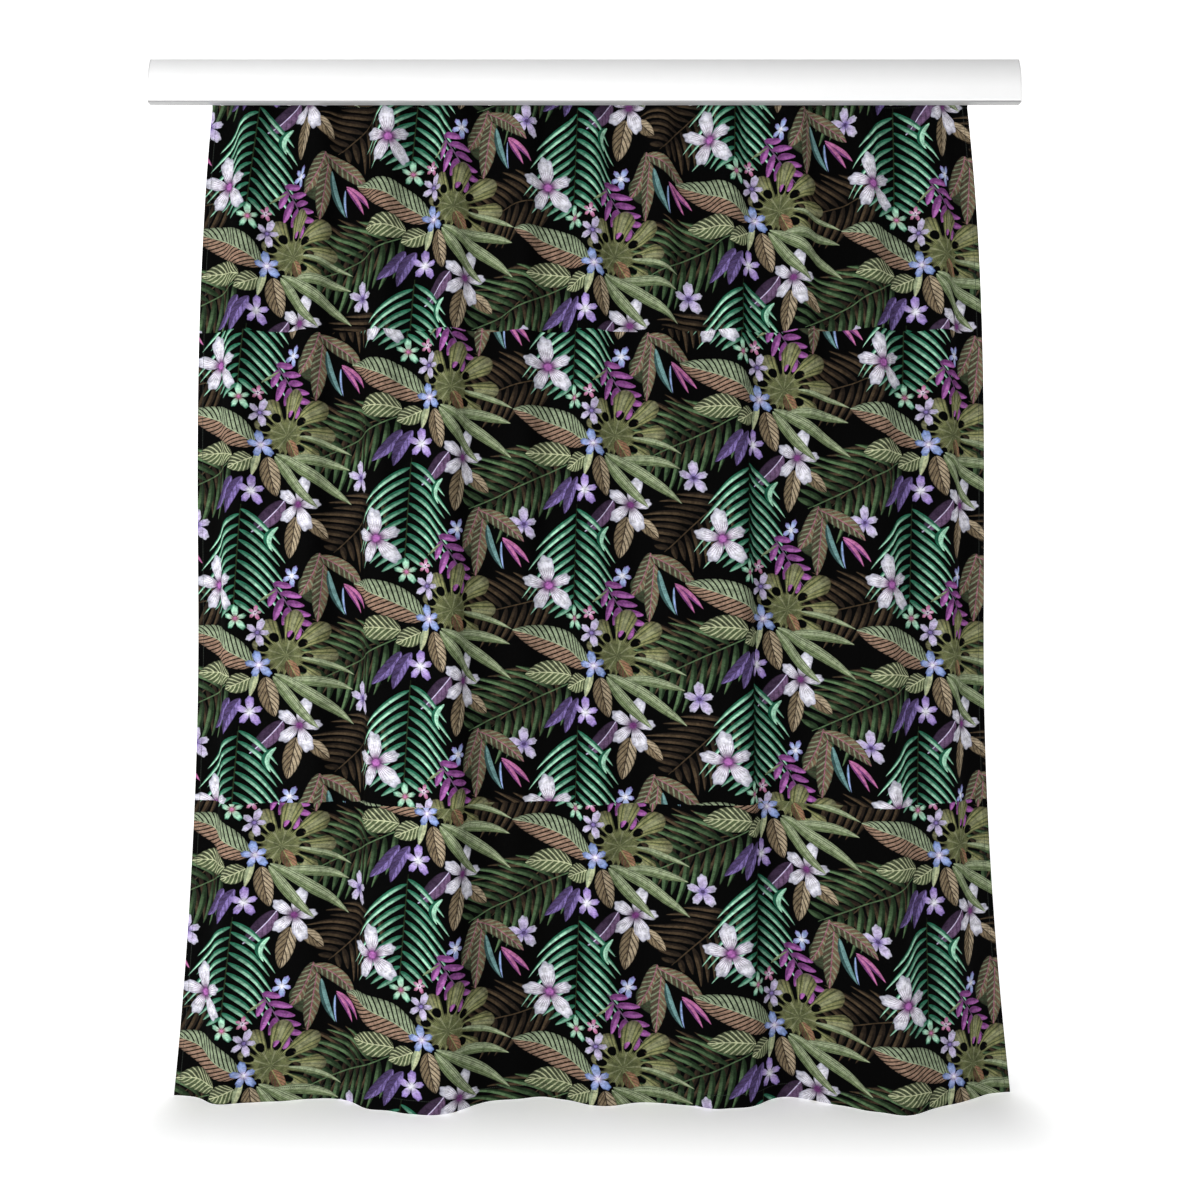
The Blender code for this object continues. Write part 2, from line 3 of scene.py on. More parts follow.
import bmesh
import bpy
import numpy as np
from bpy.props import FloatProperty, FloatVectorProperty, IntProperty, PointerProperty
from bpy.types import Operator, Panel, PropertyGroup
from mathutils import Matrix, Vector


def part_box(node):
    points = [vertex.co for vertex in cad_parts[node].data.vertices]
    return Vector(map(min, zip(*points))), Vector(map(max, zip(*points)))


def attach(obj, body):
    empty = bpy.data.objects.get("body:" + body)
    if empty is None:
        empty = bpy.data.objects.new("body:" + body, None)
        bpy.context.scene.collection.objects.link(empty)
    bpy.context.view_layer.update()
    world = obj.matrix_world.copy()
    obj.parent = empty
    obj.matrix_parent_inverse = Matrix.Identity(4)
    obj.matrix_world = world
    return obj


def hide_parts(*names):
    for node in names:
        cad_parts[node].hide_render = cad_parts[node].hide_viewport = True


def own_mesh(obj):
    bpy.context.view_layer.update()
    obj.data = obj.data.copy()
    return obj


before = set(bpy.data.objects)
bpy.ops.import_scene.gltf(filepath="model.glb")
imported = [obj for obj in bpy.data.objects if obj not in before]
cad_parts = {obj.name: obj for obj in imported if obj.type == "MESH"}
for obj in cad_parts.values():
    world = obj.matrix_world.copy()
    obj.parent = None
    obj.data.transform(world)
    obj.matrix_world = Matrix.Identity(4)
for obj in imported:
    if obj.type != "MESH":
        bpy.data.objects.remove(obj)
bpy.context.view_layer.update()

bl_info = {
    "name": "Printed shower curtain",
    "version": (1, 0, 0),
    "blender": (4, 5, 0),
    "location": "3D View > Sidebar > Curtain",
    "description": "Cloth, print, rail finishes and a plain studio for a curtain on a ceiling rail",
    "category": "Object",
}

CARRIERS = 12


def box_centre(node):
    """Middle of a CAD node's box."""
    low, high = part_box(node)
    return (np.array(low) + np.array(high)) / 2


def linear(code):
    """A display colour, written as six hexadecimal digits, as linear red, green and blue."""
    values = np.array([int(code[k:k + 2], 16) for k in (0, 2, 4)]) / 255
    return tuple(np.where(values <= 0.04045, values / 12.92, ((values + 0.055) / 1.055) ** 2.4))


def ink(name, code):
    """A colour property of the print."""
    title = name.replace("_", " ").capitalize()
    return FloatVectorProperty(
        name=title, description=f"{title} in the print", subtype="COLOR", size=3, min=0, max=1,
        default=linear(code),
    )


def length(name, description, default):
    """A length property in metres."""
    return FloatProperty(name=name, description=description, default=default, unit="LENGTH", precision=4)


class CurtainSizes(PropertyGroup):
    """How the cloth is cut and hung."""

    width: length("Cut width", "Width of the flat cloth", 1.80)
    drop: length("Drop", "Finished length from the top edge to the hem", 2.00)
    side_margin: length("Side margin", "From a side edge to the nearest eyelet", 0.020)
    flat_half: length("Flat part", "Flat cloth to each side of an eyelet", 0.014)
    header: length("Header", "Height of the stiffened top", 0.034)
    top_width: length("Hung width at the top", "Between the side edges at the header", 1.502)
    hem_width: length("Hung width at the hem", "Between the side edges at the hem", 1.676)
    waist: FloatProperty(name="Waist", description="Share of the flare reached half way", default=0.40)
    top_offset: length("Top offset", "How far right the top hangs", 0.010)
    hem_offset: length("Hem offset", "How far right the hem hangs", 0.017)
    settles: FloatProperty(name="Folds settle", description="Share of the drop", default=0.70)
    thickness: length("Cloth thickness", "Thickness of the woven cloth", 0.0005)
    hem: length("Hem height", "Height of the turned up hem", 0.030)
    side_hem: length("Side hem", "Width of the turned in sides", 0.012)
    tunnel: length("Tunnel", "Depth of the hem's tunnel", 0.0056)
    bore: length("Eyelet hole", "Radius of the holes in the cloth", 0.0066)
    print_width: length("Print width", "Width of the print from side to side", 1.5455)


# Display colours of the inks, in hexadecimal.
INKS = {
    "ground": "030303", "palm_light": "587250", "palm_dark": "1E2C1C", "brown_light": "4A3D2E",
    "brown_dark": "211B16", "mint": "A6D8BC", "mint_dark": "26604A", "moss": "7E8C70",
    "moss_dark": "37412F", "olive": "84855A", "olive_dark": "4E5538", "russet": "9A705A",
    "russet_dark": "5F4436", "celadon": "93A184", "blush": "9B7F6C", "forest": "3E4D30",
    "forest_dark": "26301F", "cream": "B9BE98", "sage_light": "9AA585", "sage": "75835F",
    "sage_dark": "434E38", "tan": "AD9D83", "tan_dark": "7D6E57", "bark": "382F27", "cocoa": "6E5646",
    "cocoa_dark": "4A3A30", "rose": "93616F", "rose_bright": "B76E9B", "magenta": "A765A8",
    "magenta_dark": "6E3A70", "plum": "6C5372", "plum_dark": "3A2C40", "violet": "7C6BA6",
    "violet_dark": "4B3E66", "violet_bright": "A58CCB", "lilac": "C4B8D8", "blue": "8FA3D2",
    "blue_dark": "5A6DA0", "petal": "DEDDE6", "petal_shade": "A9A9B8", "teal": "6E9494",
    "teal_dark": "35504F",
}


class PrintSettings(PropertyGroup):
    """How the print repeats, and its inks."""

    column: length("Column spacing", "From one column of bouquets to the next", 0.3230)
    row: length("Row repeat", "From one bouquet to the one above it", 0.4345)
    step: length("Column step", "How far every other column is raised", 0.0907)
    across: length("Print offset across", "Place of a column's centre", 0.0080)
    height: length("Print height", "Place of a bouquet's centre, above the frame's origin", -0.749)
    upper_join: length("Upper join", "Height of the join between the upper two panels", -0.524)
    upper_skip: length("Upper skip", "Length of print lost at the upper join", 0.0789)
    lower_join: length("Lower join", "Height of the join between the lower two panels", -1.455)
    lower_skip: length("Lower skip", "Length of print lost at the lower join", 0.0611)


PrintSettings.__annotations__.update({name: ink(name, code) for name, code in INKS.items()})


class StudioSettings(PropertyGroup):
    """Where the camera and the lights are."""

    distance: length("Camera distance", "From the gliders' track to the camera", 2.30)
    height: length("Camera height", "Above the frame's origin", -1.0557)
    focal: FloatProperty(name="Focal length", description="In millimetres, on 36 mm", default=34.68)
    shift: FloatProperty(name="Camera across", description="Place of the camera along X", default=0.0300)
    floor: length("Floor", "Height of the floor, above the frame's origin", -2.0480)


# The bouquet that the print repeats, in the order it is painted: shape, middle in millimetres
# from the blue bloom, direction in degrees, sizes in millimetres, pattern and inks.
# Leaf: length, half width, bend; veins along, veins across, strength; two halves, veins, rib.
# Frond: length, reach, pitch; slant, sweep, fatness; light, dark, rib.
# Bloom: radius; petals, waist, roundness; petal, edge, streaks, eye. Split leaf: radius.
BOUQUET = (
    ("frond", (171, 27), -165, (145, 84, 16.8), (0.35, 0.5, 0.85), "brown_light brown_dark brown_light"),
    ("frond", (192, -151), -134, (138, 84, 16.8), (0.35, 0.5, 0.85), "brown_light brown_dark brown_light"),
    ("frond", (-136, -78), -153, (188, 98, 20.0), (0.40, 0.5, 0.80), "palm_light palm_dark palm_light"),
    ("leaf", (95, 143), -52, (69, 21, 0), (7, 2, 0.5), "moss moss_dark bark sage_dark"),
    ("leaf", (13, -142), -131, (83, 17, 3), (7, -1.5, 0.4), "plum plum_dark plum_dark lilac"),
    ("leaf", (-75, -95), -129, (82, 12, 4), (6, -1.5, 0.5), "violet violet_dark plum_dark violet_dark"),
    ("leaf", (-47, -100), -114, (79, 12, -4), (6, -1.5, 0.5), "violet violet_dark plum_dark violet_dark"),
    ("leaf", (57, -184), -100, (84, 17, 0), (6, -2, 0.8), "tan tan_dark bark bark"),
    ("leaf", (104, -167), -47, (53, 13, 0), (5, -2, 0.6), "tan tan_dark bark bark"),
    ("frond", (-38, -223), -93, (200, 101, 20.0), (0.45, 0.70, 0.70), "mint mint_dark forest_dark"),
    ("leaf", (26, -187), -99, (50, 8, -13), (0, 3, 0.4), "mint mint_dark mint_dark mint"),
    ("bloom", (-91, 157), 96, (62, 0, 0), (5, 0.22, 1.0), "petal petal_shade magenta_dark magenta"),
    ("bloom", (70, -119), 75, (57, 0, 0), (5, 0.22, 1.0), "petal petal_shade plum magenta_dark"),
    ("bloom", (-137, -157), 90, (35, 0, 0), (5, 0.22, 0.8), "lilac petal_shade violet violet_dark"),
    ("leaf", (88, 177), -113, (94, 16, 5), (9, -1.2, 0.7), "cocoa cocoa_dark moss rose"),
    ("leaf", (107, 141), -96, (114, 15, 0), (9, -1.2, 0.7), "cocoa cocoa_dark moss rose"),
    ("leaf", (146, 183), -38, (102, 15, 7), (9, -1.2, 0.7), "cocoa cocoa_dark moss rose"),
    ("frond", (47, 118), -59, (104, 38, 21.7), (0.55, 0.25, 0.90), "magenta magenta_dark plum"),
    ("bloom", (55, 175), 60, (23, 0, 0), (5, 0.25, 0.9), "blue violet petal petal"),
    ("leaf", (135, 142), -72, (92, 7, -6), (0, 2, 0.4), "teal teal_dark teal_dark teal"),
    ("leaf", (172, 135), -46, (70, 6, 3), (0, 2, 0.4), "rose_bright magenta_dark magenta_dark rose_bright"),
    ("leaf", (165, 129), -59, (65, 5, 2), (0, 2, 0.4), "rose_bright magenta_dark magenta_dark rose_bright"),
    ("leaf", (149, 125), -85, (56, 3, -3), (0, 2, 0.4), "blue teal_dark teal_dark blue"),
    ("leaf", (14, 136), 38, (40, 3, 0), (0, 2, 0.4), "sage_light sage sage_dark sage"),
    ("split", (44, 18), 38, (101, 0, 0), (0, 0, 0), "olive olive_dark olive_dark bark"),
    ("leaf", (58, -12), -62, (48, 13, 0), (5, -2, 0.7), "russet russet_dark olive_dark olive"),
    ("leaf", (-83, 35), 155, (163, 32, -8), (15, -2.6, 0.95), "blush celadon ground celadon"),
    ("leaf", (-92, -20), 178, (85, 25, -4), (8, -2.2, 0.75), "forest forest_dark cream cream"),
    ("leaf", (-36, -36), -154, (48, 20, 0), (6, -2.0, 0.75), "forest forest_dark cream cream"),
    ("leaf", (106, -40), -10, (115, 11, 7), (0, 3, 0.8), "sage_light sage forest sage_light"),
    ("leaf", (120, -3), -21, (99, 6, 4), (0, 3, 0.5), "sage_light sage sage_dark sage_light"),
    ("leaf", (64, -74), -52, (132, 11, -4), (0, 3, 0.8), "sage_light sage forest sage_light"),
    ("leaf", (95, -68), -36, (172, 12, 5), (0, 3, 0.8), "sage_light sage forest sage_light"),
    ("leaf", (19, -63), -78, (81, 17, -2), (7, -2.2, 0.8), "tan tan_dark bark bark"),
    ("leaf", (-9, -36), -103, (55, 7, 0), (0, 3, 0.5), "cream sage_light sage cream"),
    ("bloom", (-15, -91), 88, (32, 0, 0), (5, 0.2, 0.9), "violet_bright violet petal petal"),
    ("bloom", (-3, 64), 70, (29, 0, 0), (5, 0.22, 1.0), "lilac petal_shade violet_dark violet"),
    ("bloom", (-40, 92), 92, (28, 0, 0), (5, 0.18, 1.0), "mint mint_dark rose rose_bright"),
    ("bloom", (-7, 103), 80, (16, 0, 0), (5, 0.2, 1.0), "rose_bright rose petal magenta_dark"),
    ("bloom", (0, 0), 100, (30, 0, 0), (5, 0.25, 0.85), "blue blue_dark lilac petal"),
)


# Shader building


class Graph:
    """Adds nodes to one node tree, laid out in columns."""

    def __init__(self, tree):
        self.tree = tree
        self.count = 0

    def node(self, kind, values=None, **settings):
        """A node with its settings, and each input either linked or set."""
        made = self.tree.nodes.new(kind)
        made.location = (190 * (self.count // 7), -190 * (self.count % 7))
        self.count += 1
        for key, value in settings.items():
            setattr(made, key, value)
        for key, value in (values or {}).items():
            if isinstance(value, bpy.types.NodeSocket):
                self.tree.links.new(value, made.inputs[key])
            else:
                made.inputs[key].default_value = value
        return made

    def math(self, operation, *values):
        """One Math node's result."""
        return self.node("ShaderNodeMath", dict(enumerate(values)), operation=operation).outputs[0]

    def plus(self, first, second):
        """first + second."""
        return self.math("ADD", first, second)

    def minus(self, first, second):
        """first - second."""
        return self.math("SUBTRACT", first, second)

    def over(self, first, second):
        """first / second."""
        return self.math("DIVIDE", first, second)

    def scaled(self, value, factor, offset):
        """value * factor + offset."""
        return self.math("MULTIPLY_ADD", value, factor, offset)

    def times(self, *values):
        """The product of two or more numbers."""
        product = values[0]
        for value in values[1:]:
            product = self.math("MULTIPLY", product, value)
        return product

    def vector(self, operation, *values, result="Vector"):
        """One Vector Math node's result."""
        made = self.node("ShaderNodeVectorMath", dict(enumerate(values)), operation=operation)
        return made.outputs[result]

    def ramp(self, value, start, end, low=0.0, high=1.0):
        """Low at start, high at end, and an even S between."""
        made = self.node(
            "ShaderNodeMapRange", {0: value, 1: start, 2: end, 3: low, 4: high},
            interpolation_type="SMOOTHSTEP", clamp=False,
        )
        return made.outputs[0]

    def blend(self, share, first, second, mode="MIX"):
        """The first colour where share is 0, and the second where it is 1."""
        made = self.node("ShaderNodeMix", data_type="RGBA", blend_type=mode)
        for index, value in ((0, share), (6, first), (7, second)):
            if isinstance(value, bpy.types.NodeSocket):
                self.tree.links.new(value, made.inputs[index])
            elif index:
                made.inputs[index].default_value = (*value, 1) if len(value) == 3 else value
            else:
                made.inputs[index].default_value = value
        return made.outputs[2]

    def parts(self, vector):
        """The three numbers of a vector."""
        return self.node("ShaderNodeSeparateXYZ", {0: vector}).outputs

    def wire(self, shader, key, socket):
        """Links a socket to one of the shader's inputs."""
        self.tree.links.new(socket, shader.inputs[key])

    def bump(self, shader, height, strength, distance):
        """Feeds a height to the shader's normal."""
        made = self.node("ShaderNodeBump", {"Height": height, "Strength": strength, "Distance": distance})
        self.wire(shader, "Normal", made.outputs[0])


def shader_group(name, inputs, outputs, build):
    """A node group with named sockets, made once. build(graph, sockets) returns its outputs."""
    found = bpy.data.node_groups.get(name)
    if found:
        return found
    tree = bpy.data.node_groups.new(name, "ShaderNodeTree")
    for label, kind, default in inputs:
        socket = tree.interface.new_socket(name=label, in_out="INPUT", socket_type=f"NodeSocket{kind}")
        socket.default_value = default
    for label, kind in outputs:
        tree.interface.new_socket(name=label, in_out="OUTPUT", socket_type=f"NodeSocket{kind}")
    graph = Graph(tree)
    sockets = graph.node("NodeGroupInput").outputs
    made = build(graph, sockets)
    graph.node("NodeGroupOutput", dict(zip([label for label, _ in outputs], made)))
    return tree


def use_group(graph, group, values):
    """A node that places the group in this graph."""
    made = graph.tree.nodes.new("ShaderNodeGroup")
    made.node_tree = group
    made.location = (190 * (graph.count // 7), -190 * (graph.count % 7))
    graph.count += 1
    for key, value in values.items():
        if isinstance(value, bpy.types.NodeSocket):
            graph.tree.links.new(value, made.inputs[key])
        else:
            made.inputs[key].default_value = value
    return made.outputs


MOTIF_INPUTS = [
    ("Under", "Color", (0, 0, 0, 1)), ("Position", "Vector", (0, 0, 0)), ("Centre", "Vector", (0, 0, 0)),
    ("Direction", "Vector", (1, 0, 0)), ("Size", "Vector", (0.1, 0.02, 0)),
    ("Pattern", "Vector", (0, 0, 0)),
    ("First", "Color", (1, 1, 1, 1)), ("Second", "Color", (1, 1, 1, 1)),
    ("Third", "Color", (1, 1, 1, 1)), ("Fourth", "Color", (1, 1, 1, 1)),
]


def build_place(graph, sockets):
    """Local place in the nearest repeat: columns side by side, every other one raised by a step."""
    layout = bpy.context.scene.curtain_print
    away = graph.vector("SUBTRACT", sockets["Position"], sockets["Centre"])
    x = graph.vector("DOT_PRODUCT", away, (1, 0, 0), result="Value")
    y = graph.vector("DOT_PRODUCT", away, (0, 1, 0), result="Value")
    column = graph.math("ROUND", graph.over(x, layout.column))
    odd = graph.math("PINGPONG", column, 1.0)
    level = graph.scaled(odd, -layout.step, y)
    level = graph.node("ShaderNodeCombineXYZ", {0: x, 1: level}).outputs[0]
    half = (layout.column / 2, layout.row / 2, 1)
    near = graph.vector("WRAP", level, half, tuple(-value for value in half))
    side = graph.vector("CROSS_PRODUCT", (0, 0, 1), sockets["Direction"])
    along = graph.vector("DOT_PRODUCT", near, sockets["Direction"], result="Value")
    across = graph.vector("DOT_PRODUCT", near, side, result="Value")
    return along, across, graph.vector("LENGTH", near, result="Value")


def place_group():
    """Finds a motif's own axes in the repeat."""
    return shader_group(
        "Repeat place",
        MOTIF_INPUTS[1:4],
        [("Along", "Float"), ("Across", "Float"), ("Distance", "Float")], build_place,
    )


def local_place(graph, sockets):
    """The motif's own coordinates, and the distance from its middle."""
    keys = ("Position", "Centre", "Direction")
    found = use_group(graph, place_group(), {key: sockets[key] for key in keys})
    return found["Along"], found["Across"], found["Distance"]


def build_leaf(graph, sockets):
    """A pointed leaf about a bent midrib.

    With t along it from 0 to 1, half width = W * 2.42 * t^0.55 * (1 - t)^0.75, and the midrib
    bends by B * 4 t (1 - t). Veins are a sine of t and of the share of the half width.
    """
    x, y, _ = local_place(graph, sockets)
    long, wide, bend = graph.parts(sockets["Size"])
    along, across, strength = graph.parts(sockets["Pattern"])
    t = graph.plus(graph.over(x, long), 0.5)
    left = graph.minus(1.0, t)
    hump = graph.times(graph.times(t, left), graph.times(bend, -4.0))
    side = graph.plus(y, hump)
    shape = graph.times(graph.math("POWER", t, 0.55), graph.math("POWER", left, 0.75))
    half = graph.times(shape, graph.times(wide, 2.42))
    off = graph.math("ABSOLUTE", side)
    share = graph.over(off, half)
    phase = graph.scaled(t, along, graph.times(share, across))
    wave = graph.math("SINE", graph.times(phase, math.tau))
    fine = graph.math("SINE", graph.times(phase, 4 * math.tau))
    vein = graph.scaled(graph.ramp(fine, 0.2, 0.9), 0.35, graph.ramp(wave, 0.3, 0.75))
    vein = graph.times(vein, strength)
    colour = graph.blend(graph.ramp(side, -0.0005, 0.0005), sockets["Second"], sockets["First"])
    colour = graph.blend(vein, colour, sockets["Third"])
    inside = graph.minus(half, off)
    shade = graph.ramp(graph.over(inside, wide), 0.25, 0.0, 0.0, 0.45)
    colour = graph.blend(shade, colour, (0, 0, 0))
    colour = graph.blend(graph.ramp(off, 0.0014, 0.0005), colour, sockets["Fourth"])
    return (graph.blend(graph.ramp(inside, 0.0, 0.0012), sockets["Under"], colour),)


def build_frond(graph, sockets):
    """A palm frond: leaflets on both sides of a rachis.

    A leaflet starts at s = x - slant * h - sweep * h^2 / reach, with h the distance from the
    rachis. Its half width is fatness * e^0.5 * (1 - e)^0.6 of the pitch, with e = h / length.
    """
    x, y, _ = local_place(graph, sockets)
    long, reach, pitch = graph.parts(sockets["Size"])
    slant, sweep, fat = graph.parts(sockets["Pattern"])
    x = graph.scaled(long, 0.5, x)
    off = graph.math("ABSOLUTE", y)
    side = graph.math("SIGN", y)
    curve = graph.over(graph.times(sweep, off), reach)
    lean = graph.times(graph.plus(slant, curve), off)
    start = graph.minus(x, lean)
    count = graph.scaled(side, 0.25, graph.over(start, pitch))
    number = graph.math("FLOOR", count)
    within = graph.minus(graph.minus(count, number), 0.5)
    place = graph.over(graph.times(number, pitch), long)
    taper = graph.scaled(place, -1.5, 1.05)
    taper = graph.scaled(place, taper, 0.75)
    noise = graph.node(
        "ShaderNodeTexWhiteNoise", {"W": graph.scaled(side, 31.0, number)},
        noise_dimensions="1D",
    ).outputs["Value"]
    taper = graph.times(taper, graph.scaled(noise, 0.32, 0.76))
    far = graph.over(off, graph.times(reach, taper))
    width = graph.math("POWER", graph.minus(1.0, far), 0.6)
    width = graph.times(graph.times(graph.math("POWER", far, 0.5), width), fat)
    gap = graph.minus(width, graph.math("ABSOLUTE", within))
    ends = graph.times(graph.ramp(place, -0.09, -0.01), graph.ramp(place, 0.99, 0.97))
    mask = graph.times(graph.ramp(gap, 0.0, 0.07), ends)
    lit = graph.times(graph.ramp(within, -0.12, 0.10), graph.ramp(far, 0.02, 0.50, 0.05, 1.0))
    lit = graph.times(lit, graph.scaled(noise, 0.75, 0.40))
    colour = graph.blend(lit, sockets["Second"], sockets["First"])
    base = graph.blend(mask, sockets["Under"], colour)
    rachis = graph.times(graph.ramp(off, 0.0016, 0.0006), ends)
    return (graph.blend(graph.times(rachis, 0.8), base, sockets["Third"]),)


def build_bloom(graph, sockets):
    """A flower: radius = R * (waist + (1 - waist) * |cos(n a / 2)|^p) at angle a."""
    x, y, distance = local_place(graph, sockets)
    radius = graph.parts(sockets["Size"])[0]
    petals, waist, power = graph.parts(sockets["Pattern"])
    angle = graph.math("ARCTAN2", y, x)
    away = graph.over(distance, radius)
    lobe = graph.math("COSINE", graph.times(graph.times(angle, petals), 0.5))
    lobe = graph.math("POWER", graph.math("ABSOLUTE", lobe), power)
    ripple = graph.times(graph.math("SINE", graph.times(angle, 23.0)), 0.035)
    uneven = graph.math("SINE", graph.scaled(angle, 2.0, 1.0))
    uneven = graph.scaled(uneven, 0.15, 0.85)
    edge = graph.scaled(graph.minus(1.0, waist), lobe, waist)
    edge = graph.times(graph.plus(edge, ripple), uneven)
    inside = graph.minus(edge, away)
    colour = graph.blend(graph.ramp(inside, 0.28, 0.0), sockets["First"], sockets["Second"])
    streak = graph.math("SINE", graph.times(angle, graph.times(petals, 9.0)))
    streak = graph.times(graph.ramp(streak, 0.2, 1.0), graph.ramp(away, 0.75, 0.2))
    colour = graph.blend(streak, colour, sockets["Third"])
    colour = graph.blend(graph.ramp(away, 0.34, 0.10), colour, sockets["Third"])
    colour = graph.blend(graph.ramp(lobe, 0.45, 0.05, 0.0, 0.65), colour, (0.02, 0.02, 0.03))
    colour = graph.blend(graph.ramp(away, 0.13, 0.08), colour, sockets["Fourth"])
    return (graph.blend(graph.ramp(inside, 0.0, 0.05), sockets["Under"], colour),)


def build_split(graph, sockets):
    """A split leaf about its hub: lobes between notches at even angles, with a ring of holes."""
    x, y, distance = local_place(graph, sockets)
    radius = graph.parts(sockets["Size"])[0]
    angle = graph.math("ARCTAN2", y, x)
    away = graph.over(distance, radius)
    lobe = graph.math("COSINE", graph.times(angle, 4.5))
    lobe = graph.math("ABSOLUTE", lobe)
    heart = graph.scaled(graph.math("COSINE", angle), 0.24, 0.68)
    edge = graph.times(heart, graph.scaled(lobe, 0.30, 0.78))
    inside = graph.minus(edge, away)
    notch = graph.math("MAXIMUM", graph.ramp(lobe, 0.28, 0.50), graph.ramp(away, 0.36, 0.26))
    turn = graph.math("FRACT", graph.scaled(angle, 4.5 / math.pi, 0.5))
    hole = graph.node("ShaderNodeCombineXYZ", {
        0: graph.times(graph.minus(turn, 0.5), 3.4),
        1: graph.times(graph.minus(away, 0.40), 9.0),
    }).outputs[0]
    hole = graph.ramp(graph.vector("LENGTH", hole, result="Value"), 1.0, 0.8)
    rays = graph.math("SINE", graph.scaled(angle, 63.0, graph.times(away, 9.0)))
    colour = graph.blend(graph.ramp(rays, -0.2, 1.0), sockets["First"], sockets["Second"])
    colour = graph.blend(graph.ramp(away, 0.45, 0.12, 0.0, 0.8), colour, sockets["Third"])
    colour = graph.blend(graph.ramp(lobe, 0.90, 0.99, 0.0, 0.45), colour, (0.30, 0.31, 0.19))
    colour = graph.blend(graph.ramp(inside, 0.22, 0.0, 0.0, 0.6), colour, sockets["Fourth"])
    mask = graph.times(graph.times(graph.ramp(inside, 0.0, 0.03), notch),
                      graph.minus(1.0, hole))
    return (graph.blend(mask, sockets["Under"], colour),)


def build_print(graph, sockets):
    """The whole print: a dark ground, then every motif of the bouquet over the one before."""
    inks = bpy.context.scene.curtain_print
    joined = graph.parts(sockets["Position"])
    above = graph.math("GREATER_THAN", joined[1], inks.upper_join)
    below = graph.math("LESS_THAN", joined[1], inks.lower_join)
    level = graph.minus(joined[1], inks.height)
    level = graph.scaled(above, inks.upper_skip, level)
    level = graph.scaled(below, -inks.lower_skip, level)
    across = graph.minus(joined[0], inks.across)
    place = graph.node("ShaderNodeCombineXYZ", {0: across, 1: level}).outputs[0]
    builders = {
        "leaf": ("Print leaf", build_leaf), "frond": ("Print frond", build_frond),
        "bloom": ("Print bloom", build_bloom), "split": ("Print split leaf", build_split),
    }
    colour = (*inks.ground, 1)
    for shape, centre, angle, size, pattern, names in BOUQUET:
        turn = math.radians(angle)
        values = {
            "Under": colour, "Position": place, "Centre": (centre[0] / 1000, centre[1] / 1000, 0),
            "Direction": (math.cos(turn), math.sin(turn), 0),
            "Size": tuple(value / 1000 for value in size), "Pattern": pattern,
        }
        for key, name in zip(("First", "Second", "Third", "Fourth"), names.split()):
            values[key] = (*getattr(inks, name), 1)
        title, build = builders[shape]
        group = shader_group(title, MOTIF_INPUTS, [("Colour", "Color")], build)
        colour = use_group(graph, group, values)["Colour"]
    wash = graph.node("ShaderNodeTexNoise", {
        "Vector": place, "Scale": 95.0, "Detail": 3.0, "Roughness": 0.6})
    grain = graph.node("ShaderNodeTexNoise", {
        "Vector": graph.vector("MULTIPLY", place, (260.0, 620.0, 1.0)), "Scale": 1.0, "Detail": 2.0})
    worn = graph.ramp(wash.outputs[0], 0.38, 0.68, 0.0, 0.42)
    light = graph.ramp(grain.outputs[0], 0.45, 0.70, 0.0, 0.40)
    dark = graph.ramp(grain.outputs[0], 0.55, 0.30, 0.0, 0.45)
    colour = graph.blend(worn, colour, tuple(inks.ground))
    colour = graph.blend(light, colour, (0.75, 0.75, 0.72), "OVERLAY")
    return (graph.blend(dark, colour, (0.25, 0.25, 0.27), "OVERLAY"),)


def print_group():
    """The print as one group, from a place on the cloth to its colour."""
    return shader_group(
        "Leaf and flower print", [("Position", "Vector", (0, 0, 0))], [("Colour", "Color")], build_print,
    )


def build_weave(graph, sockets):
    """Plain weave: two sets of threads, each a sine, one over the other in turn."""
    x, y, _ = graph.parts(sockets["Position"])
    pitch = sockets["Pitch"]
    warp = graph.math("SINE", graph.times(graph.over(x, pitch), math.pi))
    weft = graph.math("SINE", graph.times(graph.over(y, pitch), math.pi))
    over = graph.times(warp, weft)
    slub = graph.node(
        "ShaderNodeTexNoise", {"Vector": graph.vector("MULTIPLY", sockets["Position"], (90, 900, 0)),
                               "Scale": 1.0, "Detail": 2.0},
    )
    mottle = graph.node("ShaderNodeTexNoise", {"Vector": sockets["Position"], "Scale": 7.0, "Detail": 3.0})
    height = graph.scaled(slub.outputs[0], 0.6, graph.times(over, 0.5))
    return height, mottle.outputs[0]


def weave_group():
    """Thread height and slow variation of a woven cloth."""
    return shader_group(
        "Woven cloth", [("Position", "Vector", (0, 0, 0)), ("Pitch", "Float", 0.0006)],
        [("Height", "Float"), ("Mottle", "Float")], build_weave,
    )


STITCH_PITCH = 0.0032


def build_stitches(graph, sockets):
    """Lockstitches along a line: dashes of one pitch on the line, in a dent."""
    off = graph.math("ABSOLUTE", sockets["Off line"])
    run = graph.math("FRACT", graph.over(sockets["Along"], STITCH_PITCH))
    dash = graph.times(graph.ramp(run, 0.08, 0.2), graph.ramp(run, 0.86, 0.74))
    line = graph.ramp(off, 0.0006, 0.0003)
    dent = graph.ramp(off, 0.0024, 0.0)
    thread = graph.times(dash, line)
    return thread, graph.minus(graph.times(thread, 1.2), dent)


def stitch_group():
    """Thread mask and height of one row of stitches."""
    return shader_group(
        "Stitch row", [("Off line", "Float", 0.0), ("Along", "Float", 0.0)],
        [("Thread", "Float"), ("Height", "Float")], build_stitches,
    )


def stitched(graph, lines):
    """Thread mask and height of several rows, each a distance off its line and a place along it."""
    rows = [use_group(graph, stitch_group(), {"Off line": off, "Along": run}) for off, run in lines]
    thread, height = rows[0]["Thread"], rows[0]["Height"]
    for row in rows[1:]:
        thread = graph.math("MAXIMUM", thread, row["Thread"])
        height = graph.plus(height, row["Height"])
    return thread, height


